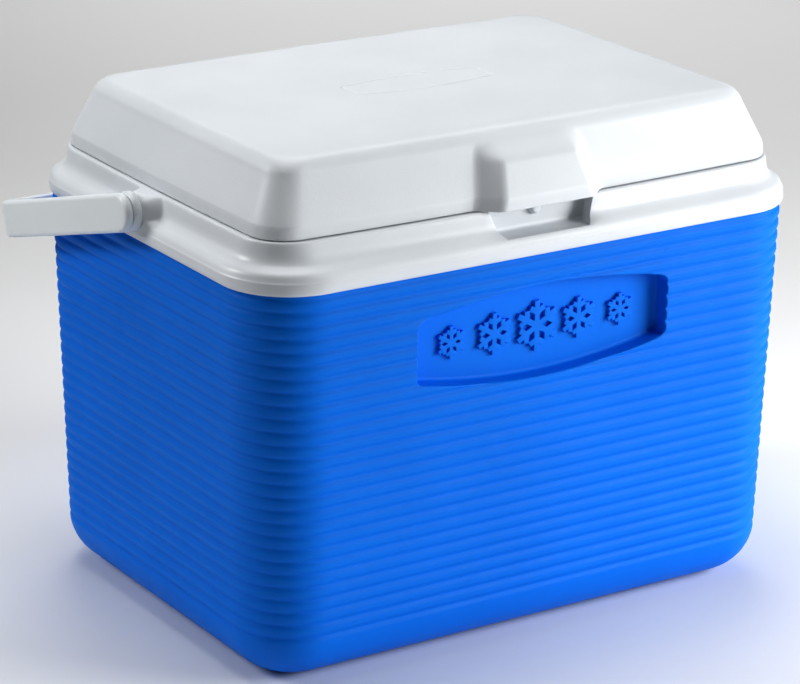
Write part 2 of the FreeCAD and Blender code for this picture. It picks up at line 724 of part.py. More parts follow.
def make_lid_pan(doc):
    body = new_body(doc, "lid_pan")
    rim = "Sizes.lid_skin + 1.2"
    plate = rounded_sketch(body, "plate_outline", "Sizes.lid_bottom + Sizes.lid_gap",
                           f"Sizes.lid_half_length - ({rim}) - {BOW_DRAW_IN} * Sizes.short_bow",
                           f"Sizes.lid_half_width - ({rim}) - {BOW_DRAW_IN} * Sizes.long_bow",
                           f"Sizes.lid_corner - ({rim}) + 1.5")
    pad(body, "plate", plate, "Sizes.pan_thickness")
    plug = rounded_sketch(body, "plug_outline", "Sizes.lid_bottom + Sizes.lid_gap",
                          "Sizes.cavity_top_length - Sizes.pan_clearance",
                          "Sizes.cavity_top_width - Sizes.pan_clearance",
                          "Sizes.cavity_top_corner - Sizes.pan_clearance + 2")
    pad(body, "plug", plug, "Sizes.lid_bottom + Sizes.lid_gap - Sizes.plug_bottom", backwards=True)
    inset = "Sizes.pan_clearance - Sizes.pan_thickness"
    tray = rounded_sketch(body, "tray_outline", "Sizes.lid_bottom + Sizes.lid_gap + Sizes.pan_thickness",
                          f"Sizes.cavity_top_length - {inset}", f"Sizes.cavity_top_width - {inset}",
                          f"Sizes.cavity_top_corner - {inset} + 2")
    pocket(body, "tray", tray, "Sizes.lid_bottom + Sizes.lid_gap - Sizes.plug_bottom")
    hole = circle_sketch(body, "fill_hole_outline", "XY_Plane", "Sizes.lid_bottom",
                         ("Sizes.fill_offset", "0"), "Sizes.fill_radius")
    pocket(body, "fill_hole", hole, "Sizes.lid_bottom - Sizes.plug_bottom + 1")
    return body


def make_lid_insulation(doc):
    gap = size("foam_gap")
    plate_top = size("lid_bottom") + size("lid_gap") + size("pan_thickness") + gap
    upper = lid_block(size("lid_skin") + gap, plate_top)
    inset = size("pan_clearance") + size("pan_thickness") + gap
    lower = stack([
        outline(size("cavity_top_length") - inset, size("cavity_top_width") - inset,
                size("cavity_top_corner") - inset + 2, z)
        for z in (size("plug_bottom") + size("pan_thickness") + gap, plate_top + 5)
    ])
    foam = upper.fuse(lower).cut(fill_space(size("plug_bottom")))
    return code_part(doc, "lid_insulation", largest_solid(foam))


# ---------------------------------------------------------------- bail handle and its pivots

def make_bail_handle(doc):
    body = new_body(doc, "bail_handle")
    sketch = new_sketch(body, "strap_outline", "XY_Plane", "0")
    face = size("bail_face")
    arm = face - size("arm_thickness")
    reach = size("bail_reach")
    grip = reach - size("grip_thickness")
    points = [(face, 0), (face, reach), (-face, reach), (-face, 0), (-arm, 0), (-arm, grip),
              (arm, grip), (arm, 0)]
    for index, (x, y) in enumerate(points):
        nx, ny = points[(index + 1) % len(points)]
        sketch.addGeometry(Part.LineSegment(Vector(x, y, 0), Vector(nx, ny, 0)), False)
    for index in range(8):
        sketch.addConstraint(Sketcher.Constraint("Coincident", index, 2, (index + 1) % 8, 1))
        kind = "Vertical" if index % 2 == 0 else "Horizontal"
        sketch.addConstraint(Sketcher.Constraint(kind, index))
    sketch.addConstraint(Sketcher.Constraint("PointOnObject", 0, 1, -1))
    sketch.addConstraint(Sketcher.Constraint("PointOnObject", 3, 1, -1))
    bind(sketch, "DistanceX", (-1, 1, 0, 1), "right_face", "Sizes.bail_face")
    bind(sketch, "DistanceX", (2, 1, -1, 1), "left_face", "Sizes.bail_face")
    bind(sketch, "DistanceX", (-1, 1, 7, 1), "right_inside", "Sizes.bail_face - Sizes.arm_thickness")
    bind(sketch, "DistanceX", (4, 1, -1, 1), "left_inside", "Sizes.bail_face - Sizes.arm_thickness")
    bind(sketch, "DistanceY", (-1, 1, 1, 1), "reach", "Sizes.bail_reach")
    bind(sketch, "DistanceY", (-1, 1, 5, 1), "grip_inside", "Sizes.bail_reach - Sizes.grip_thickness")
    pad(body, "strap", sketch, "Sizes.bail_width", midplane=True)
    for side, sign in SIDES.items():
        inside = f"{sign} * (Sizes.bail_face - Sizes.arm_thickness)"
        hub = circle_sketch(body, f"hub_outline_{side}", "YZ_Plane", inside, ("0", "0"),
                            "Sizes.bail_width / 2")
        pad(body, f"hub_{side}", hub, "Sizes.arm_thickness", backwards=sign < 0)
    round_bail(body)
    for side, sign in SIDES.items():
        inside = f"{sign} * (Sizes.bail_face - Sizes.arm_thickness)"
        seat = circle_sketch(body, f"spigot_outline_{side}", "YZ_Plane", inside, ("0", "0"),
                             "Sizes.pivot_radius + Sizes.running_gap")
        pocket(body, f"spigot_hole_{side}", seat, "Sizes.spigot_depth + 0.1", backwards=sign > 0)
    body.setExpression("Placement.Base.z", "Sizes.pivot_height")
    body.Placement = FreeCAD.Placement(Vector(0, 0, size("pivot_height")),
                                       FreeCAD.Rotation(X_AXIS, -size("bail_tilt")))
    body.setExpression("Placement.Rotation.Angle", "-1 deg * Sizes.bail_tilt")
    doc.recompute()
    return body


def round_bail(body):
    """Round the two outside corners in plan, then the outer long edges."""
    half = size("bail_width") / 2
    face = size("bail_face")
    reach = size("bail_reach")
    corner_edges = []
    for number, edge in enumerate(body.Shape.Edges, start=1):
        middle = edge.BoundBox.Center
        upright = edge.BoundBox.ZLength > 2 * half - 0.1
        if upright and abs(abs(middle.x) - face) < 0.1 and abs(middle.y - reach) < 0.1:
            corner_edges.append(f"Edge{number}")
    add_fillet(body, "corners", corner_edges, "Sizes.bail_corner")
    rim_edges = []
    for number, edge in enumerate(body.Shape.Edges, start=1):
        limits = edge.BoundBox
        on_rim = limits.ZLength < 0.01 and abs(abs(limits.Center.z) - half) < 0.01
        arm_side = abs(abs(limits.Center.x) - face) < 0.1
        bar_side = abs(limits.Center.y - reach) < 0.1
        corner = limits.XLength > 10 and limits.YLength > 10 and limits.XLength < 30
        if on_rim and (arm_side or bar_side or corner):
            rim_edges.append(f"Edge{number}")
    add_fillet(body, "edges", rim_edges, "Sizes.bail_rounding")


def make_pivot_hub(doc, side):
    """Ring, spigot and pin of one pivot, made along the arm's own side."""
    sign = SIDES[side]
    body = new_body(doc, f"pivot_hub_{side}")
    arm = "(Sizes.bail_face - Sizes.arm_thickness)"
    centre = ("0", "Sizes.pivot_height")
    ring = circle_sketch(body, "ring_outline", "YZ_Plane", f"{sign} * {arm}", centre, "Sizes.hub_radius")
    pad(body, "ring", ring, "Sizes.hub_thickness", backwards=sign > 0)
    spigot = circle_sketch(body, "spigot_outline", "YZ_Plane", f"{sign} * {arm}", centre,
                           "Sizes.pivot_radius")
    pad(body, "spigot", spigot, "Sizes.spigot_depth", backwards=sign < 0)
    pin = circle_sketch(body, "pin_outline", "YZ_Plane", f"{sign} * {arm}", centre,
                        "Sizes.pivot_radius")
    pad(body, "pin", pin, f"{arm} - Sizes.pivot_inner", backwards=sign > 0)
    return body


def make_pivot_clip(doc, side):
    sign = SIDES[side]
    body = new_body(doc, f"pivot_clip_{side}")
    centre = ("0", "Sizes.pivot_height")
    start = f"{sign} * (Sizes.pad_inner - 0.8)"
    disc = circle_sketch(body, "disc_outline", "YZ_Plane", start, centre, "Sizes.clip_radius")
    pad(body, "disc", disc, "Sizes.clip_thickness", backwards=sign > 0)
    hole = circle_sketch(body, "hole_outline", "YZ_Plane", start, centre, "Sizes.pivot_radius")
    pocket(body, "hole", hole, "Sizes.clip_thickness", backwards=sign < 0)
    return body


# ---------------------------------------------------------------- small turned parts

def make_hinge_pin(doc, side):
    sign = SIDES[side]
    pin = doc.addObject("Part::Cylinder", f"hinge_pin_{side}")
    pin.Label = f"hinge_pin_{side}"
    half = "(Sizes.knuckle_length / 2 + Sizes.ear_gap + Sizes.ear_length)"
    pin.Placement = FreeCAD.Placement(Vector(0, 0, 0), FreeCAD.Rotation(Vector(0, 1, 0), 90))
    pin.setExpression("Radius", "Sizes.hinge_pin_radius")
    pin.setExpression("Height", f"2 * {half}")
    pin.setExpression("Placement.Base.x", f"{sign} * Sizes.hinge_middle - {half}")
    pin.setExpression("Placement.Base.y", "Sizes.hinge_back")
    pin.setExpression("Placement.Base.z", "Sizes.hinge_height")
    return pin


def make_catch_peg(doc):
    body = new_body(doc, "catch_peg")
    centre = ("0", "Sizes.peg_height")
    stem = circle_sketch(body, "stem_outline", "XZ_Plane", "Sizes.pocket_back - Sizes.pocket_wall", centre,
                         "Sizes.peg_radius")
    pad(body, "stem", stem, "Sizes.peg_tip - Sizes.pocket_back + Sizes.pocket_wall")
    tip = [f"Edge{number}" for number, edge in enumerate(body.Shape.Edges, start=1)
           if abs(edge.BoundBox.YMin + size("peg_tip")) < 1e-4 and edge.BoundBox.YLength < 1e-4]
    add_fillet(body, "dome", tip, "Sizes.peg_radius * 0.55")
    return body


def make_fill_plug(doc, label, underside):
    """A stepped plug that closes the hole the foam went in through."""
    body = new_body(doc, label)
    centre = ("Sizes.fill_offset", "0")
    disc = circle_sketch(body, "disc_outline", "XY_Plane", underside, centre,
                         "Sizes.fill_radius - Sizes.fill_clearance")
    pad(body, "disc", disc, "Sizes.fill_disc")
    stem = circle_sketch(body, "stem_outline", "XY_Plane", underside, centre,
                         "Sizes.fill_stem_radius")
    pad(body, "stem", stem, "Sizes.fill_stem")
    return body


# ---------------------------------------------------------------- build, check, write

def check(doc, parts):
    for item in doc.Objects:
        if {"Invalid", "Error"} & set(item.State):
            raise RuntimeError(f"{item.Label} did not compute: {item.State}")
    for part in parts:
        if part.Shape.isNull() or not part.Shape.isValid():
            raise RuntimeError(f"{part.Label} has no valid shape")


def main():
    doc = FreeCAD.newDocument("cooler_chest")
    add_sheet(doc)
    parts = [make_outer_shell(doc), make_rim_collar(doc), make_inner_liner(doc)]
    parts.append(make_body_insulation(doc))
    parts.append(make_catch_peg(doc))
    parts.append(make_fill_plug(doc, "body_fill_plug", "0.6"))
    parts += [make_lid_shell(doc), make_lid_pan(doc), make_lid_insulation(doc)]
    parts.append(make_fill_plug(doc, "lid_fill_plug", "Sizes.plug_bottom + 0.1"))
    parts.append(make_bail_handle(doc))
    for side in SIDES:
        parts.append(make_hinge_pin(doc, side))
        parts.append(make_pivot_hub(doc, side))
        parts.append(make_pivot_clip(doc, side))
    doc.recompute()
    check(doc, parts)
    os.makedirs("parts", exist_ok=True)
    for part in parts:
        part.Shape.exportStep(f"parts/{part.Label}.step")
        limits = part.Shape.BoundBox
        print(part.Label, len(part.Shape.Solids), "solid", round(part.Shape.Volume / 1000, 1), "cm3",
              [round(v, 1) for v in (limits.XMin, limits.YMin, limits.ZMin,
                                     limits.XMax, limits.YMax, limits.ZMax)])


main()
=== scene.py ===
import json
from math import cos, pi, radians, sin, sqrt

import bmesh
import bpy
import numpy as np
from mathutils import Matrix, Vector


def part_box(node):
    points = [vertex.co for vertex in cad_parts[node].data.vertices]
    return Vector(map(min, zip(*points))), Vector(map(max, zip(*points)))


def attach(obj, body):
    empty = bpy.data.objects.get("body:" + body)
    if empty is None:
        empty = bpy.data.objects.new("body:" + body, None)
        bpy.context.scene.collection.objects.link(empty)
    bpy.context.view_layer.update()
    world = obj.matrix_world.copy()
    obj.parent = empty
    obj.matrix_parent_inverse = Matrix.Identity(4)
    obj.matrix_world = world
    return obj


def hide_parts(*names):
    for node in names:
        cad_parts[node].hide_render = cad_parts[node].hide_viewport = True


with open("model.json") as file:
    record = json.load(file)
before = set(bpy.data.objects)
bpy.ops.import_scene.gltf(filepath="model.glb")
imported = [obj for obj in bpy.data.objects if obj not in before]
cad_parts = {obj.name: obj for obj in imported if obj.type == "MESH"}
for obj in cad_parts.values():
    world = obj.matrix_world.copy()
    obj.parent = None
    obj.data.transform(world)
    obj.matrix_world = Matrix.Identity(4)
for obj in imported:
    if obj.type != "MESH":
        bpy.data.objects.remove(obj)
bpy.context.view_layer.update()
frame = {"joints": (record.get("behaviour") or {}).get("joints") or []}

# A cooler chest with a ribbed blue tub, a white rim collar, a hinged lid and one swinging bail.
# Shapes are worked out in millimetres, in the frame's own axes, and become metres in Skin.piece().
MM = 0.001
JOINTS = {joint["name"]: joint for joint in frame["joints"]}


def box_mm(node):
    low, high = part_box(node)
    return np.array(low) / MM, np.array(high) / MM


# ---- driving sizes, in millimetres

HINGE_Y, HINGE_Z = (JOINTS["lid_hinge"]["pos_m"][axis] / MM for axis in (1, 2))
PIVOT_Z = JOINTS["bail_swing"]["pos_m"][2] / MM
SHELL_TOP = box_mm("outer_shell")[1][2]
LID_TOP = box_mm("lid_shell")[1][2]
PAN_LOW, PAN_HIGH = box_mm("lid_pan")
LINER_LOW, LINER_HIGH = box_mm("inner_liner")
HUB_LOW, HUB_HIGH = box_mm("pivot_hub_right")
PEG_LOW, PEG_HIGH = box_mm("catch_peg")

RIM_HEIGHT = 268.2  # lower edge of the collar
BASE_HALF = np.array([204.3, 148.8])  # tub half length and width, carried down to the base
RIM_HALF = np.array([211.4, 155.9])  # the same under the collar
TUB_CORNER = (43.4, 46.0)  # plan corner radius, base and rim
FOOT_RADIUS = 33.5  # rounding between walls and base
TUB_WALL = 3.0
RIB_PITCH = 8.8
RIB_START = 34.6  # height of the lowest groove
RIB_DEPTH = 1.5
RIB_COUNT = 26
FILL_X, FILL_RADIUS = 110.0, 9.0  # foam fill plugs

BADGE_HALF = 97.0  # recess half length
BADGE_Z = 213.5  # middle height
BADGE_SIDE = 20.5  # half height at its ends
BADGE_MIDDLE = 31.2  # half height at its middle
BADGE_FLOOR = 142.5  # floor, from the middle plane
BADGE_DRAFT, BADGE_FILLET = 0.5, 2.4  # the recess wall's lean and its rounding into the floor
OPENING_SHARE = 0.672  # how much of the front the mesh leaves open round the badge
OPENING_HEIGHTS = (178.0, 249.0)
EMBLEM_PROUD = 2.5
EMBLEM_PITCH = 33.0

COLLAR_TOP = 296.6
COLLAR_LESS_WIDTH = 55.54  # collar half length less its half width
COLLAR_SKIN = 2.8
COLLAR_FOOT_SKIN = 1.6  # where it overlaps the tub's top edge
LAND = 2.5  # thickness of the collar's top land
LAND_EDGE, LAND_CORNER = 200.0, 29.4  # its outer half length and corner radius
MOUTH = (180.0, 125.0, 36.0)  # food cavity at its mouth: half sizes and corner radius
CAVITY_FLOOR = (172.0, 117.0, 30.0)  # the same at its floor
CAVITY_FILLET = 12.0
PAD_FACE = 214.5  # round bosses behind the bail's hubs
BOSS_RADIUS = 11.0  # where a boss starts to blend into the slope
POCKET_TOP, POCKET_BACK, POCKET_FRONT = 40.5, 37.5, 31.0  # pocket half lengths
POCKET_FLOOR = 278.9
POCKET_SKIN = 2.5
POCKET_DEPTHS = (157.0, 138.5, 136.5)  # floor front, floor back, back wall top, from the middle plane
EAR_MIDDLE = 105.0

LID_BOTTOM = 297.1
LIP_CEILING = 300.4  # the latch lip is hollow up to here
LID_HALF = (198.0, 142.5)
LID_CORNER = 23.0
LID_SHOULDER = 328.6
LID_SKIN = 2.6
LONG_BOW, SHORT_BOW = 3.6, 1.5  # outward bows at the parting line
LIP_PROUD = 11.5
LIP_ROOT, LIP_FACE = 49.0, 35.0  # latch lip half lengths, root and face

BAIL_TILT = radians(16.2)
BAIL_FACE = 227.0
ARM = 6.3
GRIP = 14.5
BAIL_HALF_WIDTH = 12.75
BAIL_REACH = 179.7
BAIL_CORNER = 14.6
MOULD_STEP = 0.35  # how much smaller the lower mould half comes out
HUB_BORE = 6.1  # radius of the pivot's bores
PIN_BORE = 2.55  # radius of the hinge pins' bores
SHEET_SHARP, SOLID_SHARP, SHELL_SHARP = 40.0, 35.0, 50.0  # smooth shading up to these angles


# ---- mesh helpers

class Skin:
    """Points in millimetres and the faces between them, for one piece."""

    def __init__(self):
        self.points = []
        self.faces = []

    def row(self, points):
        """Adds points and returns their numbers."""
        first = len(self.points)
        self.points.extend(tuple(map(float, point)) for point in points)
        return np.arange(first, len(self.points))

    def strip(self, one, two, closed=True):
        """Quads between two rows of equal length."""
        count = len(one)
        for i in range(count if closed else count - 1):
            j = (i + 1) % count
            self.faces.append((one[i], one[j], two[j], two[i]))

    def sheet(self, rows, closed=True):
        for one, two in zip(rows, rows[1:]):
            self.strip(one, two, closed)

    def cap(self, row, middle, rings=4):
        """Closes a flat end with rings that shrink towards middle."""
        edge = np.array([self.points[i] for i in row])
        last = row
        for ring_number in range(1, rings + 1):
            share = ring_number / (rings + 1)
            new = self.row(edge + (np.array(middle) - edge) * share)
            self.strip(last, new)
            last = new
        self.faces.append(tuple(last))

    def close(self, rows):
        """Quads between the rows and one flat face at each end."""
        self.sheet(rows)
        self.faces += [tuple(rows[0]), tuple(rows[-1])]

    def round_hole(self, last, radius, z, shares):
        """Rings from a row in to the fill plug's hole; returns the hole's edge."""
        flat = np.array([self.points[i] for i in last])[:, :2]
        centre = np.array([FILL_X, 0.0])
        away = flat - centre
        hole = centre + radius * (away / np.linalg.norm(away, axis=1)[:, None])
        rows = [last] + [self.row(at_height(flat + (hole - flat) * share, z)) for share in shares]
        self.sheet(rows)
        return rows[-1]

    def piece(self, name, material=None, sharp=SOLID_SHARP):
        """One object in metres, with outward normals and smooth shading up to the sharp angle."""
        mesh = bpy.data.meshes.new(name)
        points = [Vector(point) * MM for point in self.points]
        mesh.from_pydata(points, [], [tuple(map(int, face)) for face in self.faces])
        clean(mesh)
        mesh.set_sharp_from_angle(angle=radians(sharp))
        if material:
            mesh.materials.append(material)
        return linked(name, mesh)


def linked(name, data):
    thing = bpy.data.objects.new(name, data)
    bpy.context.scene.collection.objects.link(thing)
    return thing


def clean(mesh):
    """Merges points that coincide, turns the faces outward and shades them smooth."""
    work = bmesh.new()
    work.from_mesh(mesh)
    bmesh.ops.remove_doubles(work, verts=work.verts, dist=1e-6)
    bmesh.ops.recalc_face_normals(work, faces=work.faces)
    for face in work.faces:
        face.smooth = True
    work.to_mesh(mesh)
    work.free()


def evaluated_mesh(thing):
    view = bpy.context.evaluated_depsgraph_get()
    return bpy.data.meshes.new_from_object(thing.evaluated_get(view), depsgraph=view)


def stack(*columns):
    """Columns of one array; a single number fills its whole column."""
    return np.column_stack(np.broadcast_arrays(*columns))


def at_height(flat, z):
    """Points of a plan outline at height z."""
    return stack(*np.transpose(flat), z)


def along_x(x, outline):
    """Points of a (y, z) outline at one place along X."""
    return stack(x, *np.transpose(outline))


def turns(first, last, count):
    """Even angles, from degrees to radians."""
    return np.radians(np.linspace(first, last, count))


def smoothstep(value):
    value = np.clip(value, 0.0, 1.0)
    return value * value * (3.0 - 2.0 * value)


def ring(layout, half, corner, z, bow=(0.0, 0.0)):
    """A rounded rectangle at height z, anticlockwise from its front left, whose sides may bow outward.

    layout holds the places along the front, along the ends, round each corner and along the back."""
    front, end, bends, back = layout
    a, b = half
    long_straight, short_straight = a - corner, b - corner
    sides = [stack(front * long_straight, -b), stack(a, end * short_straight),
             stack(back[::-1] * long_straight, b), stack(-a, end[::-1] * short_straight)]
    parts = []
    for quarter, (sx, sy) in enumerate(((1, -1), (1, 1), (-1, 1), (-1, -1))):
        centre = np.array([sx * long_straight, sy * short_straight])
        parts += [sides[quarter], centre + turned(corner, bends + pi / 2 * (quarter - 1))]
    flat = np.vstack(parts)
    x, y = flat[:, 0], flat[:, 1]
    x_bowed = x * (1 + bow[0] / a * (1 / 3 - (y / short_straight) ** 2))
    y_bowed = y * (1 + bow[1] / b * (1 / 3 - (x / long_straight) ** 2))
    return stack(x_bowed, y_bowed, z)


def stations(front, end, corner_steps):
    """Places along the sides and round the corners, for ring(); a number stands for even places."""
    bends = np.linspace(0, pi / 2, corner_steps + 2)[1:-1]
    along = np.linspace(-1, 1, front) if isinstance(front, int) else front
    across = np.linspace(-1, 1, end) if isinstance(end, int) else end
    return along, across, bends, np.linspace(-1, 1, len(along))


def parted_angles(steps):
    """Angles round the X axis, and 1 for those in the lower of the two mould halves, else 0."""
    upper = np.linspace(0.0, pi, steps // 2)
    return np.concatenate([upper, upper + pi]), np.repeat([0.0, 1.0], steps // 2)


def turned(reach, angles):
    """Points at angles round the origin."""
    return stack(reach * np.cos(angles), reach * np.sin(angles))


def lathe(name, profile, material, steps, mould_step=0.0):
    """A closed solid turned about the X axis; profile holds (x, radius) from one end's middle to the other's.

    mould_step is how much smaller the lower half's outer rim is."""
    skin = Skin()
    angles, lower = parted_angles(steps)
    rows = []
    for x, radius in profile:
        reach = radius - mould_step * lower * (radius > 7.0)
        rows.append(skin.row(along_x(x, turned(reach, angles)) if radius else [(x, 0, 0)] * steps))
    skin.sheet(rows)
    thing = skin.piece(name, material)
    drop_flat_faces(thing.data)
    return thing


def drop_flat_faces(mesh):
    """Drops the faces with no area that merged points leave at a pole."""
    work = bmesh.new()
    work.from_mesh(mesh)
    bmesh.ops.dissolve_degenerate(work, dist=1e-7, edges=work.edges)
    work.to_mesh(mesh)
    work.free()


def arc(centre, radius, first, last, steps):
    """Points on a circle, angles in degrees."""
    return [(centre[0] + radius * cos(t), centre[1] + radius * sin(t))
            for t in turns(first, last, steps + 1)]


def combine(thing, joined, cut, sharp=SHEET_SHARP):
    """Joins some closed meshes to a piece, cuts others out of it, and applies the result."""
    for kind, others in (("UNION", joined), ("DIFFERENCE", cut)):
        for other in others:
            modifier = thing.modifiers.new(kind, "BOOLEAN")
            modifier.operation = kind
            modifier.solver = "EXACT"
            modifier.object = other
        if others:
            thing.data = evaluated_mesh(thing)
            thing.modifiers.clear()
            thing.data.set_sharp_from_angle(angle=radians(sharp))
        for other in others:
            bpy.data.objects.remove(other)


def add_meshes(thing, meshes):
    """Makes other closed meshes part of a piece's mesh; their roots stand inside its wall."""
    work = bmesh.new()
    work.from_mesh(thing.data)
    for mesh in meshes:
        work.from_mesh(mesh)
    work.to_mesh(thing.data)
    work.free()
    thing.data.set_sharp_from_angle(angle=radians(SHELL_SHARP))


def place(thing, body, slot, *nodes):
    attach(thing, body)
    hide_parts(*nodes)


# ---- outer shell

def groove(z):
    """How far the ribbed wall lies inside its crests at height z."""
    rib = (np.asarray(z, float) - RIB_START) / RIB_PITCH
    wave = np.abs(np.cos(pi * rib)) ** 4.5
    return RIB_DEPTH * np.where(rib > -0.5, np.where(rib < RIB_COUNT, wave, 1.0), 0.0)


def foot(z, radius):
    """How far the rounded foot draws the wall in at height z."""
    drop = np.clip(radius - np.asarray(z, float), 0.0, radius)
    return radius - np.sqrt(radius * radius - drop * drop)


def wall(z, inset):
    """Half sizes and corner radius of the tub's wall at height z, moved in by inset."""
    share = z / RIM_HEIGHT
    corner = TUB_CORNER[0] + share * (TUB_CORNER[1] - TUB_CORNER[0])
    return BASE_HALF + share * (RIM_HALF - BASE_HALF) - inset, max(corner - inset, 9.0)


def front_face(z):
    """Distance of the ribbed front from the middle plane at height z."""
    return BASE_HALF[1] + np.asarray(z, float) / RIM_HEIGHT * (RIM_HALF[1] - BASE_HALF[1]) - groove(z)


def badge_stations():
    """Places along the badge from -1 to 1, close together where its corners round."""
    corner = 5.0 / BADGE_HALF
    right = 1 - corner + corner * np.sin(np.linspace(0, pi / 2, 7))
    middle = np.linspace(-(1 - corner), 1 - corner, 71)
    return np.concatenate([-right[:0:-1], middle, right[1:]])


def badge_edges(x, inset):
    """Lower and upper edge of the badge outline at x, moved in by inset."""
    half = BADGE_HALF - inset
    bow = BADGE_MIDDLE - BADGE_SIDE
    radius = (BADGE_HALF ** 2 + bow ** 2) / (2 * bow)
    rise = BADGE_MIDDLE - inset - radius + np.sqrt(radius ** 2 - x ** 2)
    edges = []
    for corner in (3.2, 5.0):
        corner = max(corner - inset, 0.8)
        reach = np.clip(np.abs(x) - (half - corner), 0.0, corner)
        edges.append(rise - (corner - np.sqrt(corner ** 2 - reach ** 2)))
    return BADGE_Z - edges[0], BADGE_Z + edges[1]


def badge_loop(places, levels, inset):
    """The badge outline as one closed loop of (x, z): lower edge, right, upper edge, left."""
    x = places * (BADGE_HALF - inset)
    low, high = badge_edges(x, inset)
    side = low[-1] + levels * (high[-1] - low[-1])
    return np.vstack([stack(x, low), stack(x[-1], side[1:-1]), stack(x[::-1], high[::-1]),
                      stack(x[0], side[-2:0:-1])])


def badge_rings(places, levels):
    """Rings from the ribbed face round the lip, down the wall and round the floor's fillet."""
    lip = 0.9
    rings = []
    for angle in turns(0, 90, 7):
        loop = badge_loop(places, levels, lip * (sin(angle) - 1))
        rings.append((loop, front_face(loop[:, 1]) - lip * (1 - cos(angle))))
    top = rings[-1][1]
    for share in (0.15, 0.35, 0.6, 0.85, 1.0):
        loop = badge_loop(places, levels, BADGE_DRAFT * share)
        rings.append((loop, top + (BADGE_FLOOR + BADGE_FILLET - top) * share))
    for angle in turns(15, 90, 6):
        loop = badge_loop(places, levels, BADGE_DRAFT + BADGE_FILLET * (1 - cos(angle)))
        rings.append((loop, np.full(len(loop), BADGE_FLOOR + BADGE_FILLET * (1 - sin(angle)))))
    return [stack(loop[:, 0], -face, loop[:, 1]) for loop, face in rings]


def badge_bulge(points):
    """Pushes the tub's inner wall in behind the badge, so that the wall has its thickness there."""
    x, z = points[:, 0], points[:, 2]
    beyond = np.maximum(np.abs(x) - BADGE_HALF, np.abs(z - BADGE_Z) - BADGE_MIDDLE)
    share = smoothstep(1 - (beyond - 4.0) / 6.0)
    floor = -(BADGE_FLOOR - TUB_WALL)
    moved = points.copy()
    moved[:, 1] += share * np.maximum(floor - points[:, 1], 0.0)
    return moved


def crystal_outline(reach):
    """Corners of a six-armed ice crystal, each arm with one pair of barbs."""
    half, start, barb = 0.095 * reach, 0.50 * reach, 0.30 * reach
    out, up = barb * cos(radians(60)), barb * sin(radians(60))
    corners = [(half * 1.732, half), (start, half), (start + out, half + up),
               (start + out + 1.7 * half, up), (start + 2.3 * half, half), (reach, half)]
    corners += [(u, -v) for u, v in reversed(corners[1:])]
    outline = []
    for arm in range(6):
        turn = radians(60 * arm + 90)
        along, across = cos(turn), sin(turn)
        outline += [(u * along + v * across, u * across - v * along) for u, v in corners]
    return outline


def crystal(reach, middle):
    """A closed crystal with rounded edges, standing up from the badge's floor."""
    curve = bpy.data.curves.new("crystal", "CURVE")
    curve.dimensions = "2D"
    curve.fill_mode = "BOTH"
    sunk, bevel = 0.4, 0.5
    curve.extrude = (EMBLEM_PROUD / 2 + sunk - bevel) * MM
    curve.bevel_depth = bevel * MM
    curve.bevel_resolution = 3
    outline = crystal_outline(reach)
    path = curve.splines.new("POLY")
    path.points.add(len(outline) - 1)
    shrink = (reach - bevel) / reach
    for point, (u, v) in zip(path.points, outline):
        point.co = (u * shrink * MM, v * shrink * MM, 0, 1)
    path.use_cyclic_u = True
    shape = linked("crystal", curve)
    mesh = evaluated_mesh(shape)
    bpy.data.objects.remove(shape)
    centre = Vector((middle, sunk - BADGE_FLOOR - EMBLEM_PROUD / 2, BADGE_Z)) * MM
    mesh.transform(Matrix.Translation(centre) @ Matrix.Rotation(pi / 2, 4, "X"))
    clean(mesh)
    return mesh


def badge_floor(skin, inner, places, levels):
    """The recess's flat floor inside its fillet's last ring."""
    inset = BADGE_DRAFT + BADGE_FILLET
    x = places * (BADGE_HALF - inset)
    low, high = badge_edges(x, inset)
    count = len(places)
    side = len(levels) - 2
    grid = [inner[:count]]
    for number, share in enumerate(levels[1:-1]):
        middle = stack(x, -BADGE_FLOOR, low + share * (high - low))[1:-1]
        grid.append([inner[len(inner) - 1 - number], *skin.row(middle), inner[count + number]])
    grid.append(inner[count + side:2 * count + side][::-1])
    skin.sheet(grid, closed=False)


def ribbed_face(skin, layout, heights, opening):
    """The ribbed outside, open where the badge goes; returns its rows and the opening's edge."""
    low_row, high_row, left, right = opening
    outer = []
    for z in heights:
        half, corner = wall(z, float(foot(z, FOOT_RADIUS) + groove(z)))
        outer.append(skin.row(ring(layout, half, corner, z)))
    for number, (one, two) in enumerate(zip(outer, outer[1:])):
        for i in range(len(one)):
            if low_row <= number < high_row and left <= i < right:
                continue
            j = (i + 1) % len(one)
            skin.faces.append((one[i], one[j], two[j], two[i]))
    edge = list(outer[low_row][left:right + 1])
    edge += [row[right] for row in outer[low_row + 1:high_row]]
    edge += list(outer[high_row][left:right + 1][::-1])
    edge += [row[left] for row in outer[high_row - 1:low_row:-1]]
    return outer, np.array(edge)


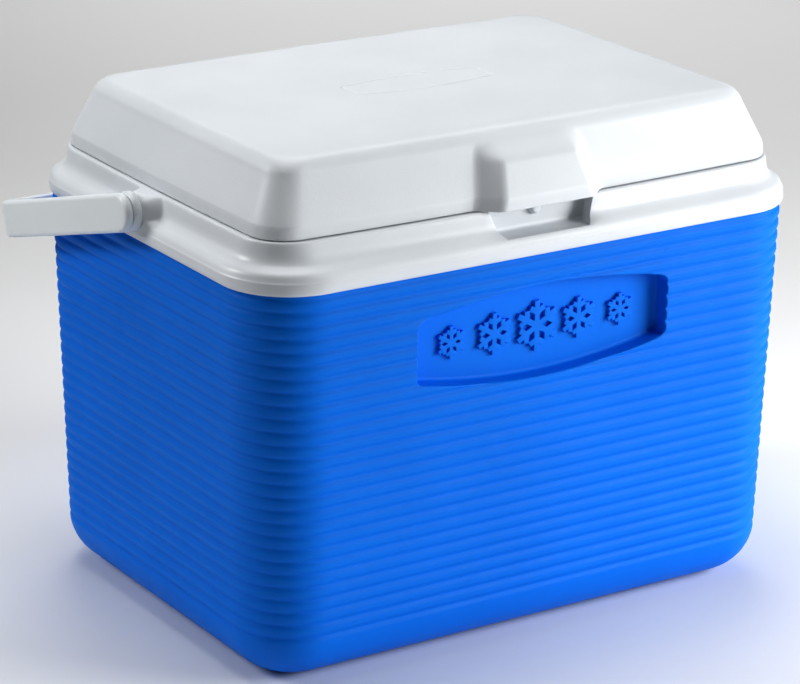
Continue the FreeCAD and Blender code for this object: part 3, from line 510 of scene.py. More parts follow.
def make_outer_shell(material):
    places = badge_stations()
    side = np.linspace(OPENING_SHARE, 1, 9)[1:]
    layout = stations(np.concatenate([-side[::-1], OPENING_SHARE * places, side]), 22, 12)
    heights = list(FOOT_RADIUS * (1 - np.cos(turns(0, 78, 14))))
    heights += list(np.arange(heights[-1] + 1.0, SHELL_TOP - 0.5, RIB_PITCH / 10)) + [SHELL_TOP]
    heights = np.array(heights)
    low_row, high_row = (int(np.argmin(np.abs(heights - z))) for z in OPENING_HEIGHTS)
    skin = Skin()
    opening = (low_row, high_row, len(side), len(side) + len(places) - 1)
    outer, edge = ribbed_face(skin, layout, heights, opening)

    # The badge, from the opening's edge in the ribbed face inwards.
    levels = np.linspace(0, 1, high_row - low_row + 1)
    rings = badge_rings(places, levels)
    edge_points = np.array([skin.points[i] for i in edge])
    rows = [edge]
    for share in np.linspace(0, 1, 20)[1:-1]:
        between = edge_points + (rings[0] - edge_points) * share
        between[:, 1] = -front_face(between[:, 2])
        rows.append(skin.row(between))
    rows += [skin.row(points) for points in rings]
    skin.sheet(rows)
    badge_floor(skin, rows[-1], places, levels)

    # Top edge, inner wall and base, with the fill hole through it.
    inner = [outer[-1]]
    inner_foot = 30.5
    low_turn = turns(82, 0, 10)
    for z in [*np.linspace(SHELL_TOP, 40, 60), *(TUB_WALL + inner_foot * (1 - np.cos(low_turn)))]:
        half, corner = wall(z, TUB_WALL + RIB_DEPTH + float(foot(z - TUB_WALL, inner_foot)))
        inner.append(skin.row(badge_bulge(ring(layout, half, corner, z))))
    skin.sheet(inner)
    shares = (0.35, 0.7, 1.0)
    skin.strip(skin.round_hole(outer[0], FILL_RADIUS, 0.0, shares),
               skin.round_hole(inner[-1], FILL_RADIUS, TUB_WALL, shares))
    shell = skin.piece("tub_shell", material, SHELL_SHARP)
    reaches = (11.0, 14.0, 17.0, 14.0, 11.0)
    add_meshes(shell, [crystal(reach, (step - 2) * EMBLEM_PITCH) for step, reach in enumerate(reaches)])
    place(shell, "root", "shell_blue", "outer_shell")


# ---- rim collar

COLLAR_PROFILE = (
    (266.2, 212.4, 47.2, 0.06), (267.4, 213.3, 49.0, 0.06), (269.0, 213.9, 50.5, 0.06),
    (271.0, 214.25, 51.8, 0.06), (273.0, 214.25, 52.0, 0.06), (274.1, 214.1, 51.8, 0.06),
    (275.0, 213.6, 51.4, 0.07), (276.6, 212.9, 50.2, 0.10), (278.2, 212.0, 48.4, 0.14),
    (279.5, 210.8, 46.4, 0.20), (280.6, 209.2, 44.0, 0.34), (281.6, 207.4, 41.4, 0.50),
    (283.0, 205.4, 38.4, 0.68), (285.2, 203.7, 35.6, 0.82), (288.2, 202.6, 33.6, 0.93),
    (292.0, 201.9, 32.2, 1.0), (294.6, 201.4, 31.2, 1.0),
    (296.1, 200.8, 30.3, 1.0), (296.6, 200.0, 29.4, 1.0),
)  # height, half length, corner radius, share of the bow


def spline(rows, steps):
    """A smooth curve through rows of numbers, with steps points between neighbours."""
    rows = np.array(rows, float)
    padded = np.vstack([2 * rows[0] - rows[1], rows, 2 * rows[-1] - rows[-2]])
    out = []
    for a, b, c, d in zip(padded, padded[1:], padded[2:], padded[3:]):
        for t in np.linspace(0, 1, steps, endpoint=False):
            out.append(0.5 * (2 * b + (c - a) * t + (2 * a - 5 * b + 4 * c - d) * t ** 2
                              + (3 * b - a - 3 * c + d) * t ** 3))
    out.append(rows[-1])
    return np.array(out)


def collar_levels(depth):
    """Rows of height, half length, corner and bow share up the side and over the land to the mouth."""
    side = spline(COLLAR_PROFILE, 3)
    if depth:
        for _ in range(8):
            side[1:-1] = (side[:-2] + 2 * side[1:-1] + side[2:]) / 4
    over = []
    for share in np.linspace(0, 1, 15)[1:]:
        half = LAND_EDGE + share * (MOUTH[0] - LAND_EDGE)
        corner = LAND_CORNER + share * (MOUTH[2] - LAND_CORNER)
        over.append((COLLAR_TOP, half, corner, 1.0 - share))
    rows = np.vstack([side, over])
    slope = np.gradient(rows[:, :2], axis=0)
    length = np.hypot(slope[:, 0], slope[:, 1])
    out = rows.copy()
    thick = np.where(rows[:, 0] > COLLAR_TOP - 0.7, LAND, COLLAR_SKIN)
    thick = np.where(rows[:, 0] < SHELL_TOP + 1.0, COLLAR_FOOT_SKIN, thick) * depth
    out[:, 0] += thick * slope[:, 1] / length
    out[:, 1] -= thick * slope[:, 0] / length
    out[:, 2] = np.maximum(rows[:, 2] - thick * slope[:, 0] / length, 12.0)
    out[-1, 1] = rows[-1, 1]
    if depth:
        out = out[(rows[:, 0] < COLLAR_TOP - 2.2) | (out[:, 1] < LAND_EDGE - 2.0)]
    return out


def collar_halves(level):
    """Half sizes at one level, at the corners of the bowed sides, and the bows there."""
    share = level[3]
    extra = 0.0 if level[1] > MOUTH[0] + 0.01 else 0.54
    half = np.array([level[1], level[1] - COLLAR_LESS_WIDTH + extra])
    return half, (SHORT_BOW * share, LONG_BOW * share)


BOSS_PLACES = np.linspace(-0.3, 0.3, 61)
END_PLACES = np.concatenate([np.linspace(-1, -0.3, 15)[:-1], BOSS_PLACES, np.linspace(0.3, 1, 15)[1:]])


def pad_push(points, level_z, half_length, depth):
    """Brings the ends out to the round bosses behind the bail's hubs, and the land out to meet them."""
    if level_z + COLLAR_SKIN * depth < 271.0:
        return points
    face = PAD_FACE - COLLAR_SKIN * depth
    edge = LAND_EDGE - COLLAR_SKIN * depth
    height = level_z + LAND * depth
    above = height - PIVOT_Z
    low = float(smoothstep(-(above + 2.5) / 4.5))
    reach = np.hypot(points[:, 1], max(above, 0.0))
    near = 1 - smoothstep((reach - BOSS_RADIUS + 1.4 * depth) / (7.5 + 8.0 * low))
    rounding = 5.0
    drop = np.clip((height - (COLLAR_TOP - rounding)) / rounding, 0, 1)
    boss_x = face - rounding * (1 - sqrt(1 - drop * drop))
    away = np.abs(points[:, 0])
    push = np.maximum(boss_x - away, 0) * near
    if drop > 0.99 and half_length < edge:
        push = (boss_x - edge) * near * (half_length - MOUTH[0]) / (edge - MOUTH[0])
    moved = points.copy()
    moved[:, 0] += np.sign(points[:, 0]) * push * (away > 150)
    return moved


def pocket_path(count, start, finish, depth):
    """The pocket's floor and back wall as (y, z), from start to finish."""
    floor_back = POCKET_DEPTHS[1] - POCKET_SKIN * depth
    bend = (-floor_back, start[1])
    y, z = (np.concatenate([np.linspace(a, b, 60), np.linspace(b, c, 50)[1:]])
            for a, b, c in zip(start, bend, finish))
    for _ in range(30):
        y[1:-1] = (y[:-2] + 2 * y[1:-1] + y[2:]) / 4
        z[1:-1] = (z[:-2] + 2 * z[1:-1] + z[2:]) / 4
    travel = np.concatenate([[0], np.cumsum(np.hypot(np.diff(y), np.diff(z)))])
    even = np.linspace(0, travel[-1], count)
    return stack(*(np.interp(even, travel, values) for values in (y, z)))


def pocket_half(y, z, depth):
    """Half length of the pocket at a place on its side walls."""
    back = np.clip((-y - POCKET_DEPTHS[1]) / (POCKET_DEPTHS[0] - POCKET_DEPTHS[1]), 0, 1)
    low = POCKET_BACK + (POCKET_FRONT - POCKET_BACK) * back
    rise = np.clip((z - POCKET_FLOOR) / (COLLAR_TOP - POCKET_FLOOR), 0, 1)
    return low + (POCKET_TOP - low) * rise + POCKET_SKIN * depth


def pocket_columns(edge, bottom, span):
    """Column places (x, depth along the wall) across half the pocket, from outside to the middle."""
    turn = turns(0, 90, 7)
    radius = smoothstep(span / 3.0)
    wall_shares = np.array((0.25, 0.5, 0.75))
    middle_shares = np.linspace(0, 1, 8)[1:]
    x = np.concatenate([edge + radius - radius * np.sin(turn), edge + wall_shares * (bottom - edge),
                        bottom - radius + radius * np.cos(turn), (bottom - radius) * (1 - middle_shares)])
    down = np.concatenate([radius - radius * np.cos(turn), radius + wall_shares * (span - 2 * radius),
                           span - radius + radius * np.sin(turn), np.full(len(middle_shares), span)])
    return x, down


def collar_rows(skin, depth):
    """Rows of the collar's outer face (depth 0) or inner face (depth 1), bottom to mouth."""
    levels = collar_levels(depth)
    halves = [collar_halves(level) for level in levels]
    fronts_y = np.array([-(half[1] + bow[1] / 3) for half, bow in halves])
    side = levels[levels[:, 0] < COLLAR_TOP - 4.0, 0]
    first = int(np.argmin(np.abs(side - (POCKET_FLOOR - POCKET_SKIN * depth))))
    last = int(np.argmin(np.abs(fronts_y + POCKET_DEPTHS[2] - POCKET_SKIN * depth)))
    ends = [(fronts_y[row], levels[row][0]) for row in (first, last)]
    path = pocket_path(last - first + 1, *ends, depth)
    columns = 24
    rows = []
    for number, (level, (half, bow)) in enumerate(zip(levels, halves)):
        corner = min(level[2], half[1] - 10)
        straight = half[0] - corner
        row = min(max(number, first), last)
        target = path[row - first]
        face = np.array([fronts_y[row], levels[row][0]])
        span = float(np.hypot(*(target - face))) if first < row < last else 0.0
        edge, bottom = (float(pocket_half(*point, depth)) for point in (face, target))
        x, down = pocket_columns(edge, bottom, span)
        fronts = np.concatenate([np.linspace(1, x[0] / straight, columns)[:-1] * straight, x])
        fronts = np.concatenate([-fronts, fronts[-2::-1]])
        downs = np.concatenate([np.zeros(columns - 1), down])
        downs = np.concatenate([downs, downs[-2::-1]])
        points = ring(stations(fronts / straight, END_PLACES, 14), half, corner, level[0], bow)
        if span > 0:
            here = points[:len(fronts), 1:]
            here += (downs / span)[:, None] * (target - here)
        rows.append(skin.row(pad_push(points, level[0], level[1], depth)))
    return rows


def hinge_ear(x_from, x_to):
    """A rounded ear standing on the rim: half a cylinder along X on a block with rounded edges."""
    radius, foot_z = 5.0, 285.0
    outline = [(HINGE_Y - 5.6, foot_z), (HINGE_Y + radius, foot_z)]
    outline += arc((HINGE_Y, HINGE_Z), radius, 0, 180, 24)
    outline = np.array(outline)
    away = outline - outline.mean(axis=0)
    rounding = 0.6
    steps = [(x_from + rounding * (1 - cos(t)), rounding * (1 - sin(t))) for t in turns(0, 90, 4)]
    steps += [(x_to - (x - x_from), inset) for x, inset in reversed(steps)]
    skin = Skin()
    skin.close([skin.row(along_x(x, outline - away * inset / np.max(np.abs(away)))) for x, inset in steps])
    return skin.piece("ear")


def rod(one, two, radius, y, z, steps=40):
    """A plain closed cylinder along X, used to bore holes."""
    angles = np.linspace(0, 2 * pi, steps, endpoint=False) + 0.37 / steps
    skin = Skin()
    skin.close([skin.row(along_x(x, (y, z) + turned(radius, angles))) for x in sorted((one, two))])
    return skin.piece("rod")


def make_rim_collar(material):
    skin = Skin()
    outer, inner = (collar_rows(skin, depth) for depth in (0.0, 1.0))
    skin.sheet(outer)
    skin.sheet(inner)
    skin.strip(outer[0], inner[0])
    skin.strip(outer[-1], inner[-1])
    collar = skin.piece("rim_band", material, SHEET_SHARP)
    ears = []
    bores = []
    for side in (-1, 1):
        middle = side * EAR_MIDDLE
        ears += [hinge_ear(middle - 32.0, middle - 20.5), hinge_ear(middle + 20.5, middle + 32.0)]
        bores.append(rod(middle - 27.5, middle + 27.5, PIN_BORE, HINGE_Y, HINGE_Z))
        bores.append(rod(side * 205, side * 225, HUB_BORE, 0.0, PIVOT_Z, 56))
    combine(collar, ears, bores)
    place(collar, "root", "collar_white", "rim_collar")


# ---- lid

LID_PROFILE = (
    (0.5, 297.1), (0.15, 297.3), (0.0, 297.7), (0.0, 298.6), (0.12, 301.0), (0.35, 303.6), (0.75, 305.6),
    (1.5, 307.4), (3.4, 311.6), (6.1, 317.3), (8.8, 323.0), (11.4, 328.6), (13.4, 332.9),
    (15.0, 336.5), (17.5, 339.7), (20.5, 341.8), (23.8, 342.65), (27.5, 342.85), (33.0, 342.85),
)  # distance in from the lower edge, height


def lid_levels(depth):
    """Rows of height, half sizes, corner and bows up the lid's side, moved in by depth millimetres."""
    rows = spline(LID_PROFILE, 3)
    slope = np.gradient(rows, axis=0)
    length = np.hypot(slope[:, 0], slope[:, 1])
    inset = rows[:, 0] + depth * slope[:, 1] / length
    z = rows[:, 1] - depth * slope[:, 0] / length
    if depth:
        z = np.maximum(z, LID_BOTTOM)
    out = []
    for raw_z, new_inset, new_z in zip(rows[:, 1], inset, z):
        share = 1.0 - 0.6 * (raw_z - LID_BOTTOM) / (LID_TOP - LID_BOTTOM)
        corner = max(LID_CORNER - 0.35 * new_inset, 9.0)
        bow = (SHORT_BOW * share, LONG_BOW * share)
        half = (LID_HALF[0] - new_inset - bow[0] / 3, LID_HALF[1] - new_inset - bow[1] / 3)
        out.append((new_z, half, corner, bow))
    return out


def lid_layout(straight):
    """Places round the lid, closer together round the latch lip's flanks."""
    near, flank, far = np.linspace(0, 26, 7), np.linspace(26, 52, 34), np.linspace(52, straight, 22)
    x = np.concatenate([near[:-1], flank[:-1], far])
    return stations(np.concatenate([-x[:0:-1], x]) / straight, 40, 14)


def lid_ring(z, half, corner, bow):
    return ring(lid_layout(half[0] - corner), half, corner, z, bow)


def lip_push(points, depth):
    """Pushes the front out to form the latch lip, soft at its root and rounded at its flanks."""
    x, y, z = points.T
    rise = np.clip((z - LID_BOTTOM) / (LID_SHOULDER - LID_BOTTOM), 0, 1.6)
    root = LIP_ROOT - 8.0 * rise - depth
    face = LIP_FACE - 7.0 * rise - depth
    flank = (root - np.abs(x)) / (root - face)
    soft = 0.20
    low, high = (np.clip(reach, 0, None) ** 2 / (4 * soft) for reach in (flank + soft, 1 + soft - flank))
    across = np.where(flank < soft, low, np.where(flank > 1 - soft, 1 - high, np.clip(flank, 0, 1)))
    full = LIP_PROUD + 1.2 * (1 - 0.6 * np.clip(rise, 0, 1)) - 0.8
    fade = 1 - smoothstep((z - 326.0) / 12.0)
    edge = 0.8 * np.sqrt(np.clip(1 - ((LID_BOTTOM + 1.2 + depth - z) / 1.2).clip(0, 1) ** 2, 0, 1))
    push = across * fade * (full + edge) * (y < 0)
    moved = points.copy()
    moved[:, 1] -= push
    return moved


def lid_top(skin, last, z, groove_depth):
    """Rings from the rounding's end to the shallow bowed outline in the middle of the top."""
    edge = np.array([skin.points[i] for i in last])[:, :2]
    half_length, half_width, bow = 53.0, 11.0, 6.0

    def outline_y(x):
        return half_width + bow * (1 - (x / half_length) ** 2)

    target = []
    for point in edge:
        away = np.maximum(np.abs(point), 1e-6)
        point = point * min(half_length / away[0], (half_width + bow) / away[1])
        if abs(point[1]) > outline_y(point[0]):
            for _ in range(12):
                point = point * (outline_y(point[0]) / abs(point[1]))
        target.append(point)
    target = np.array(target)
    normal = target / np.linalg.norm(target, axis=1)[:, None]
    start = target + 2.6 * normal
    flats = [(edge + (start - edge) * share, 0.0) for share in (0.12, 0.3, 0.5, 0.7, 0.85)]
    sides = ((2.6, 0.0), (1.5, 0.0), (1.0, 0.08), (0.6, 0.30), (0.25, 0.46))
    across = [*sides, (0.0, 0.5), *((-away, drop) for away, drop in reversed(sides))]
    flats += [(target + away * normal, drop) for away, drop in across]
    flats += [(target * share, 0.0) for share in (0.75, 0.5, 0.25)]
    rows = [last] + [skin.row(at_height(flat, z - drop * groove_depth)) for flat, drop in flats]
    skin.sheet(rows)
    skin.faces.append(tuple(rows[-1]))


def hinge_knuckle(x_from, x_to):
    """The lid's knuckle: a cylinder along X with a web forward into the lid's back edge."""
    outline = arc((HINGE_Y, HINGE_Z), 4.5, -100, 60, 25)
    outline += [(y, HINGE_Z + up) for y, up in ((140.6, 3.6), (140.6, -0.8), (145.5, -0.8), (147.5, -2.4))]
    skin = Skin()
    skin.close([skin.row(along_x(x, outline)) for x in (x_from, x_to)])
    return skin.piece("knuckle")


def make_lid_shell(material):
    skin = Skin()
    sides = []
    for depth in (0.0, LID_SKIN):
        rows = []
        for level in lid_levels(depth):
            points = lid_ring(*level)
            hollow = depth == 0 or level[0] < LIP_CEILING
            rows.append(skin.row(lip_push(points, depth) if hollow else points))
        skin.sheet(rows)
        lid_top(skin, rows[-1], float(skin.points[rows[-1][0]][2]), 1.1 if depth == 0 else 0.0)
        sides.append(rows)
    skin.strip(sides[0][0], sides[1][0])
    lid = skin.piece("lid_cover", material, SHEET_SHARP)
    middles = (-EAR_MIDDLE, EAR_MIDDLE)
    combine(lid, [hinge_knuckle(middle - 20.0, middle + 20.0) for middle in middles],
            [rod(middle - 27.0, middle + 27.0, PIN_BORE, HINGE_Y, HINGE_Z) for middle in middles])
    place(lid, "lid", "lid_white", "lid_shell")


def make_lid_pan(material):
    """The lid's lower skin: a plate with a shallow tray that plugs the mouth, and a fill hole."""
    plate_z, low_z = PAN_HIGH[2], PAN_LOW[2]
    under_z = plate_z - 2.3
    edge = min(lid_levels(LID_SKIN + 0.15), key=lambda level: abs(level[0] - under_z))
    skin = Skin()
    layout = stations(40, 30, 12)

    def tray(z, inset=0.0):
        half = (MOUTH[0] - 3.0 - inset, MOUTH[1] - 3.0 - inset)
        return skin.row(ring(layout, half, max(MOUTH[2] - 1.0 - inset, 5.0), z))

    def plate(z, inset=0.0):
        half = (edge[1][0] - inset, edge[1][1] - inset)
        return skin.row(ring(layout, half, edge[2] - inset, z, edge[3]))

    def rounding(radius, inset, angles):
        return [tray(low_z + 5.0 - radius * sin(t), inset + radius * (1 - cos(t)))
                for t in np.radians(angles)]

    lower = [plate(plate_z, 0.5), plate(plate_z - 0.5), plate(under_z + 0.5), plate(under_z, 0.5),
             tray(under_z, -2.0)]
    lower += [tray(under_z - 2.0 + 2.0 * cos(t), -2.0 + 2.0 * sin(t))
              for t in np.radians((15, 30, 45, 60, 75, 90))]
    lower += rounding(5.0, 0.9, (0, 15, 30, 45, 60, 75, 90))
    upper = [plate(plate_z, 3.0), tray(plate_z), tray(plate_z - 0.6, 2.3)]
    upper += rounding(2.7, 3.2, (0, 30, 60, 90))
    skin.sheet(lower)
    skin.strip(lower[0], upper[0])
    skin.sheet(upper)
    skin.strip(*(skin.round_hole(last, FILL_RADIUS + 0.1, z, (0.3, 0.6, 0.85, 1.0))
                 for last, z in ((lower[-1], low_z), (upper[-1], low_z + 2.3))))
    pan = skin.piece("lid_tray", material, SHEET_SHARP)
    place(pan, "lid", "liner_white", "lid_pan")


def make_lid_foam(material):
    """Foam that fills the space between the lid's cover and its tray, round the fill plug's hole."""
    bottom = PAN_HIGH[2] + 0.3
    levels = [level for level in lid_levels(LID_SKIN + 0.4) if level[0] > bottom]
    skin = Skin()
    rows = [skin.row(lid_ring(*level)) for level in levels]
    skin.sheet(rows)
    skin.cap(rows[-1], (0.0, 0.0, levels[-1][0]))
    layout = lid_layout(levels[0][1][0] - levels[0][2])
    under = [rows[0]]
    for inset, drop in ((0.0, 0.0), (1.2, 1.6), (2.6, 8.0), (3.6, 10.6), (5.6, 11.6)):
        size = (MOUTH[0] - 3.2 - inset, MOUTH[1] - 3.2 - inset)
        under.append(skin.row(ring(layout, size, MOUTH[2] - inset, bottom - drop)))
    skin.sheet(under)
    skin.cap(under[-1], (0.0, 0.0, PAN_HIGH[2] - 11.3))
    filling = skin.piece("lid_foam", material, SHEET_SHARP)
    place(filling, "lid", "foam", "lid_insulation")
    plug_low, plug_high = box_mm("lid_fill_plug")
    hole = rod(0.0, 1.0, FILL_RADIUS + 0.3, 0.0, 0.0, 56)
    height = plug_high[2] - plug_low[2] + 2.0
    hole.data.transform(Matrix.Translation((FILL_X * MM, 0, (plug_low[2] - 1.9) * MM))
                        @ Matrix.Rotation(-pi / 2, 4, "Y") @ Matrix.Diagonal((height, 1, 1, 1)))
    combine(filling, [], [hole])


# ---- liner

def make_inner_liner(material):
    """The food cavity's smooth skin, with a flange under the collar's land."""
    wall_skin, flange_skin = 2.2, 2.5
    top = LINER_HIGH[2]
    floor = LINER_LOW[2] + wall_skin
    skin = Skin()
    layout = stations(44, 32, 14)

    def cavity(z, inset, grow):
        share = (z - floor) / (top - floor)
        size = [low + share * (high - low) - inset + grow for low, high in zip(CAVITY_FLOOR, MOUTH)]
        return skin.row(ring(layout, size[:2], max(size[2], 6.0), z - (grow if inset > 0 else 0)))

    def face(start, grow):
        gap = 0.001 if grow else 0.0
        rows = [cavity(z, 0.0, grow) for z in np.linspace(start, floor + CAVITY_FILLET, 16)]
        rows += [cavity(floor + CAVITY_FILLET * (1 - sin(t)), CAVITY_FILLET * (1 - cos(t)) + gap, grow)
                 for t in turns(10, 90, 9)]
        skin.sheet(rows)
        skin.cap(rows[-1], (0.0, 0.0, floor - grow))
        return rows[0]

    inside = face(top, 0.0)
    outside = face(top - flange_skin, wall_skin)
    upper, lower = (skin.row(ring(layout, LINER_HIGH[:2], MOUTH[2] + 9.0, z))
                    for z in (top, top - flange_skin))
    skin.sheet([inside, upper, lower, outside])
    liner = skin.piece("cavity_skin", material, SHEET_SHARP)
    place(liner, "root", "liner_white", "inner_liner")


# ---- bail, hubs and catch peg

def bail_section(thick):
    """The strap's rounded flat section: (in from its outer face, along its width)."""
    half = thick / 2
    outer, inner = (min(radius, half - 0.05) for radius in (3.2, 2.6))
    points = []
    corners = ((1, 1, outer), (-1, 1, inner), (-1, -1, inner), (1, -1, outer))
    for quarter, (sx, sy, radius) in enumerate(corners):
        centre = (sx * (half - radius) - half, sy * (BAIL_HALF_WIDTH - radius))
        points += arc(centre, radius, 90 * quarter, 90 * quarter + 90, 7)
    return points


def bail_path():
    """Stations along half the strap's outer face: (x, y, outward direction, thickness)."""
    flare = 8.0  # thickness where the arm turns into the corner
    straight_end = BAIL_REACH - BAIL_CORNER
    rows = []
    for y in np.linspace(0, straight_end, 40):
        grow = smoothstep((y - (straight_end - 42)) / 50)
        rows.append((BAIL_FACE, y, 0.0, ARM + (flare - ARM) * grow))
    centre = (BAIL_FACE - BAIL_CORNER, straight_end)
    angles = np.linspace(0, 90, 15)[1:]
    for angle, (x, y) in zip(angles, arc(centre, BAIL_CORNER, 0, 90, 14)[1:]):
        rows.append((x, y, radians(angle), flare + (GRIP - flare) * smoothstep(angle / 80)))
    return rows + [(x, BAIL_REACH, pi / 2, GRIP) for x in np.linspace(centre[0], 0, 40)[1:]]


def make_bail(material):
    half_path = bail_path()
    path = half_path + [(-x, y, pi - turn, thick) for x, y, turn, thick in reversed(half_path[:-1])]
    tilt = Matrix.Rotation(-BAIL_TILT, 3, "X")
    skin = Skin()
    rows = []
    for x, y, turn, thick in path:
        points = [(x + across * cos(turn), y + across * sin(turn), width)
                  for across, width in bail_section(thick)]
        rows.append(skin.row([Vector((0, 0, PIVOT_Z)) + tilt @ Vector(point) for point in points]))
    skin.close(rows)
    strap = skin.piece("bail_strap", material)
    seat = HUB_HIGH[0] + 0.1
    ends = [bail_hub_end(side) for side in (-1, 1)]
    seats = [rod(side * 215, side * seat, HUB_BORE, 0.0, PIVOT_Z, 56) for side in (-1, 1)]
    combine(strap, ends, seats, SOLID_SHARP)
    place(strap, "bail", "handle_white", "bail_handle")


def bail_hub_end(side):
    """The strap's round end about the pivot, rounded like the strap's own edges."""
    inner, outer = 2.6, 3.2
    profile = [(0.0, BAIL_HALF_WIDTH - inner)]
    profile += arc((inner, BAIL_HALF_WIDTH - inner), inner, 165, 90, 5)
    profile += arc((ARM - outer, BAIL_HALF_WIDTH - outer), outer, 90, 0, 7)
    angles, lower = parted_angles(80)
    skin = Skin()
    rows = []
    for x, radius in profile:
        reach = radius - MOULD_STEP * lower * (0.0 < x < ARM - 1e-9)
        rows.append(skin.row(along_x(side * (BAIL_FACE - ARM + x), (0, PIVOT_Z) + turned(reach, angles))))
    skin.close(rows)
    return skin.piece("bail_end")


def make_hub(side, material):
    """Ring between collar boss and strap, its spigot into the strap and its pin through the collar."""
    inner, face = 215.0, BAIL_FACE - ARM - 0.1
    tip, pin = HUB_LOW[0], HUB_HIGH[0]
    profile = [(tip, 0.0), (tip, 5.2), (tip + 0.8, 6.0), (inner, 6.0), (inner, 12.2), (inner + 0.3, 12.8),
               (inner + 1.0, 13.2), ((inner + face) / 2, 13.2), (face - 1.3, 13.2), (face - 0.5, 12.8),
               (face, 12.0), (face, 6.0), (pin - 0.6, 6.0), (pin, 5.4), (pin, 0.0)]
    end = "right" if side > 0 else "left"
    hub = lathe("pivot_ring_" + end, [(side * x, radius) for x, radius in profile], material, 96, MOULD_STEP)
    hub.data.transform(Matrix.Translation((0, 0, PIVOT_Z * MM)))
    place(hub, "bail", "fitting_white", "pivot_hub_" + end)


def make_catch_peg(material):
    """The small domed peg in the pocket's back wall that the latch lip snaps over."""
    radius, dome = 3.9, 3.0
    back = PEG_HIGH[1]
    neck = back - PEG_LOW[1] - dome
    height = (PEG_LOW[2] + PEG_HIGH[2]) / 2
    profile = [(0.0, 0.0), (0.0, radius), (neck, radius)]
    profile += [(neck + dome * sin(t), radius - 2.2 * (1 - cos(t))) for t in turns(15, 90, 6)]
    profile += [(neck + dome, 0.0)]
    peg = lathe("catch_knob", profile, material, 48)
    stand = Matrix.Translation((0, back * MM, height * MM))
    peg.data.transform(stand @ Matrix.Rotation(-pi / 2, 4, "Z"))
    place(peg, "root", "fitting_white", "catch_peg")


# ---- materials

class Nodes:
    """A material's node tree with short calls to add and join nodes."""

    def __init__(self, name):
        self.material = bpy.data.materials.new(name)
        self.material.use_nodes = True
        self.tree = self.material.node_tree
        self.shader = next(node for node in self.tree.nodes if node.type == "BSDF_PRINCIPLED")
        self.place = self.add("ShaderNodeTexCoord").outputs["Object"]

    def add(self, kind, **settings):
        node = self.tree.nodes.new(kind)
        for key, value in settings.items():
            if key in node.inputs:
                node.inputs[key].default_value = value
            else:
                setattr(node, key, value)
        return node

    def join(self, source, target):
        self.tree.links.new(source, target)

    def drive(self, name, source):
        """Sets one of the shader's inputs from a node."""
        self.join(source, self.shader.inputs[name])

    def noise(self, scale, detail=3.0, roughness=0.5):
        node = self.add("ShaderNodeTexNoise", Scale=scale, Detail=detail, Roughness=roughness)
        self.join(self.place, node.inputs["Vector"])
        return node.outputs["Fac"]

    def ramp(self, source, *stops):
        """Colours at places along a value."""
        node = self.add("ShaderNodeValToRGB")
        elements = node.color_ramp.elements
        while len(elements) < len(stops):
            elements.new(0.5)
        for element, (at, colour) in zip(elements, stops):
            element.position = at
            element.color = (*colour, 1.0)
        self.join(source, node.inputs["Fac"])
        return node.outputs["Color"]

    def spread(self, source, low, high, to_low, to_high):
        node = self.add("ShaderNodeMapRange")
        for key, value in zip(("From Min", "From Max", "To Min", "To Max"), (low, high, to_low, to_high)):
            node.inputs[key].default_value = value
        self.join(source, node.inputs["Value"])
        return node.outputs["Result"]

    def bump(self, source, strength, distance, before=None):
        node = self.add("ShaderNodeBump", Strength=strength, Distance=distance)
        self.join(source, node.inputs["Height"])
        if before is not None:
            self.join(before, node.inputs["Normal"])
        return node.outputs["Normal"]

    def wear_and_highlight(self, colour, worn_and_highlight, strength):
        """Mixes a lighter colour in along convex edges, such as the ribs' crests, broken up by noise: partly
        rubbed wear, partly a painted highlight.
        """
        shape = self.add("ShaderNodeNewGeometry").outputs["Pointiness"]
        edge = self.spread(shape, 0.53, 0.60, 0.0, strength)
        patch = self.spread(self.noise(140.0, 4.0), 0.42, 0.62, 0.2, 1.0)
        amount = self.add("ShaderNodeMath", operation="MULTIPLY")
        self.join(edge, amount.inputs[0])
        self.join(patch, amount.inputs[1])
        mix = self.add("ShaderNodeMix", data_type="RGBA")
        self.join(amount.outputs["Value"], mix.inputs["Factor"])
        self.join(colour, mix.inputs["A"])
        mix.inputs["B"].default_value = (*worn_and_highlight, 1.0)
        return mix.outputs["Result"]


def moulded_plastic(name, dark, light, worn_and_highlight, roughness, grain_size, grain_depth, ior=1.45):
    """Injection-moulded plastic with a fine surface grain."""
    nodes = Nodes(name)
    colour = nodes.ramp(nodes.noise(9.0, 3.0), (0.35, dark), (0.65, light))
    # Convex edges take the lighter edge colour: partly rubbed wear, partly painted highlight.
    nodes.drive("Base Color", nodes.wear_and_highlight(colour, worn_and_highlight, 0.35))
    rub = nodes.noise(55.0, 4.0, 0.6)
    nodes.drive("Roughness", nodes.spread(rub, 0.3, 0.7, roughness - 0.05, roughness + 0.06))
    grain = nodes.noise(1000.0 / grain_size, 2.0, 0.55)
    wavy = nodes.bump(nodes.noise(22.0, 2.0), 0.25, 0.0004)
    nodes.drive("Normal", nodes.bump(grain, 1.0, grain_depth * MM, wavy))
    nodes.shader.inputs["IOR"].default_value = ior
    return nodes.material


# Dark and light tone of each plastic. The third white, like the edge colours given to the blue plastics, is
# mixed in along convex edges: partly wear, partly painted highlight.
BLUE = ((0.0, 0.190, 0.75), (0.0, 0.206, 0.80))
WHITE = ((0.73, 0.76, 0.79), (0.77, 0.80, 0.83), (0.84, 0.86, 0.88))


def shell_blue():
    return moulded_plastic("shell_blue", *BLUE, (0.02, 0.22, 0.92), 0.54, 1.1, 0.030, 1.25)


def plug_blue():
    return moulded_plastic("plug_blue", *BLUE, (0.10, 0.30, 0.80), 0.42, 0.9, 0.020, 1.28)


def collar_white():
    return moulded_plastic("collar_white", *WHITE, 0.34, 1.6, 0.010)


def lid_white():
    return moulded_plastic("lid_white", *WHITE, 0.42, 1.3, 0.070)


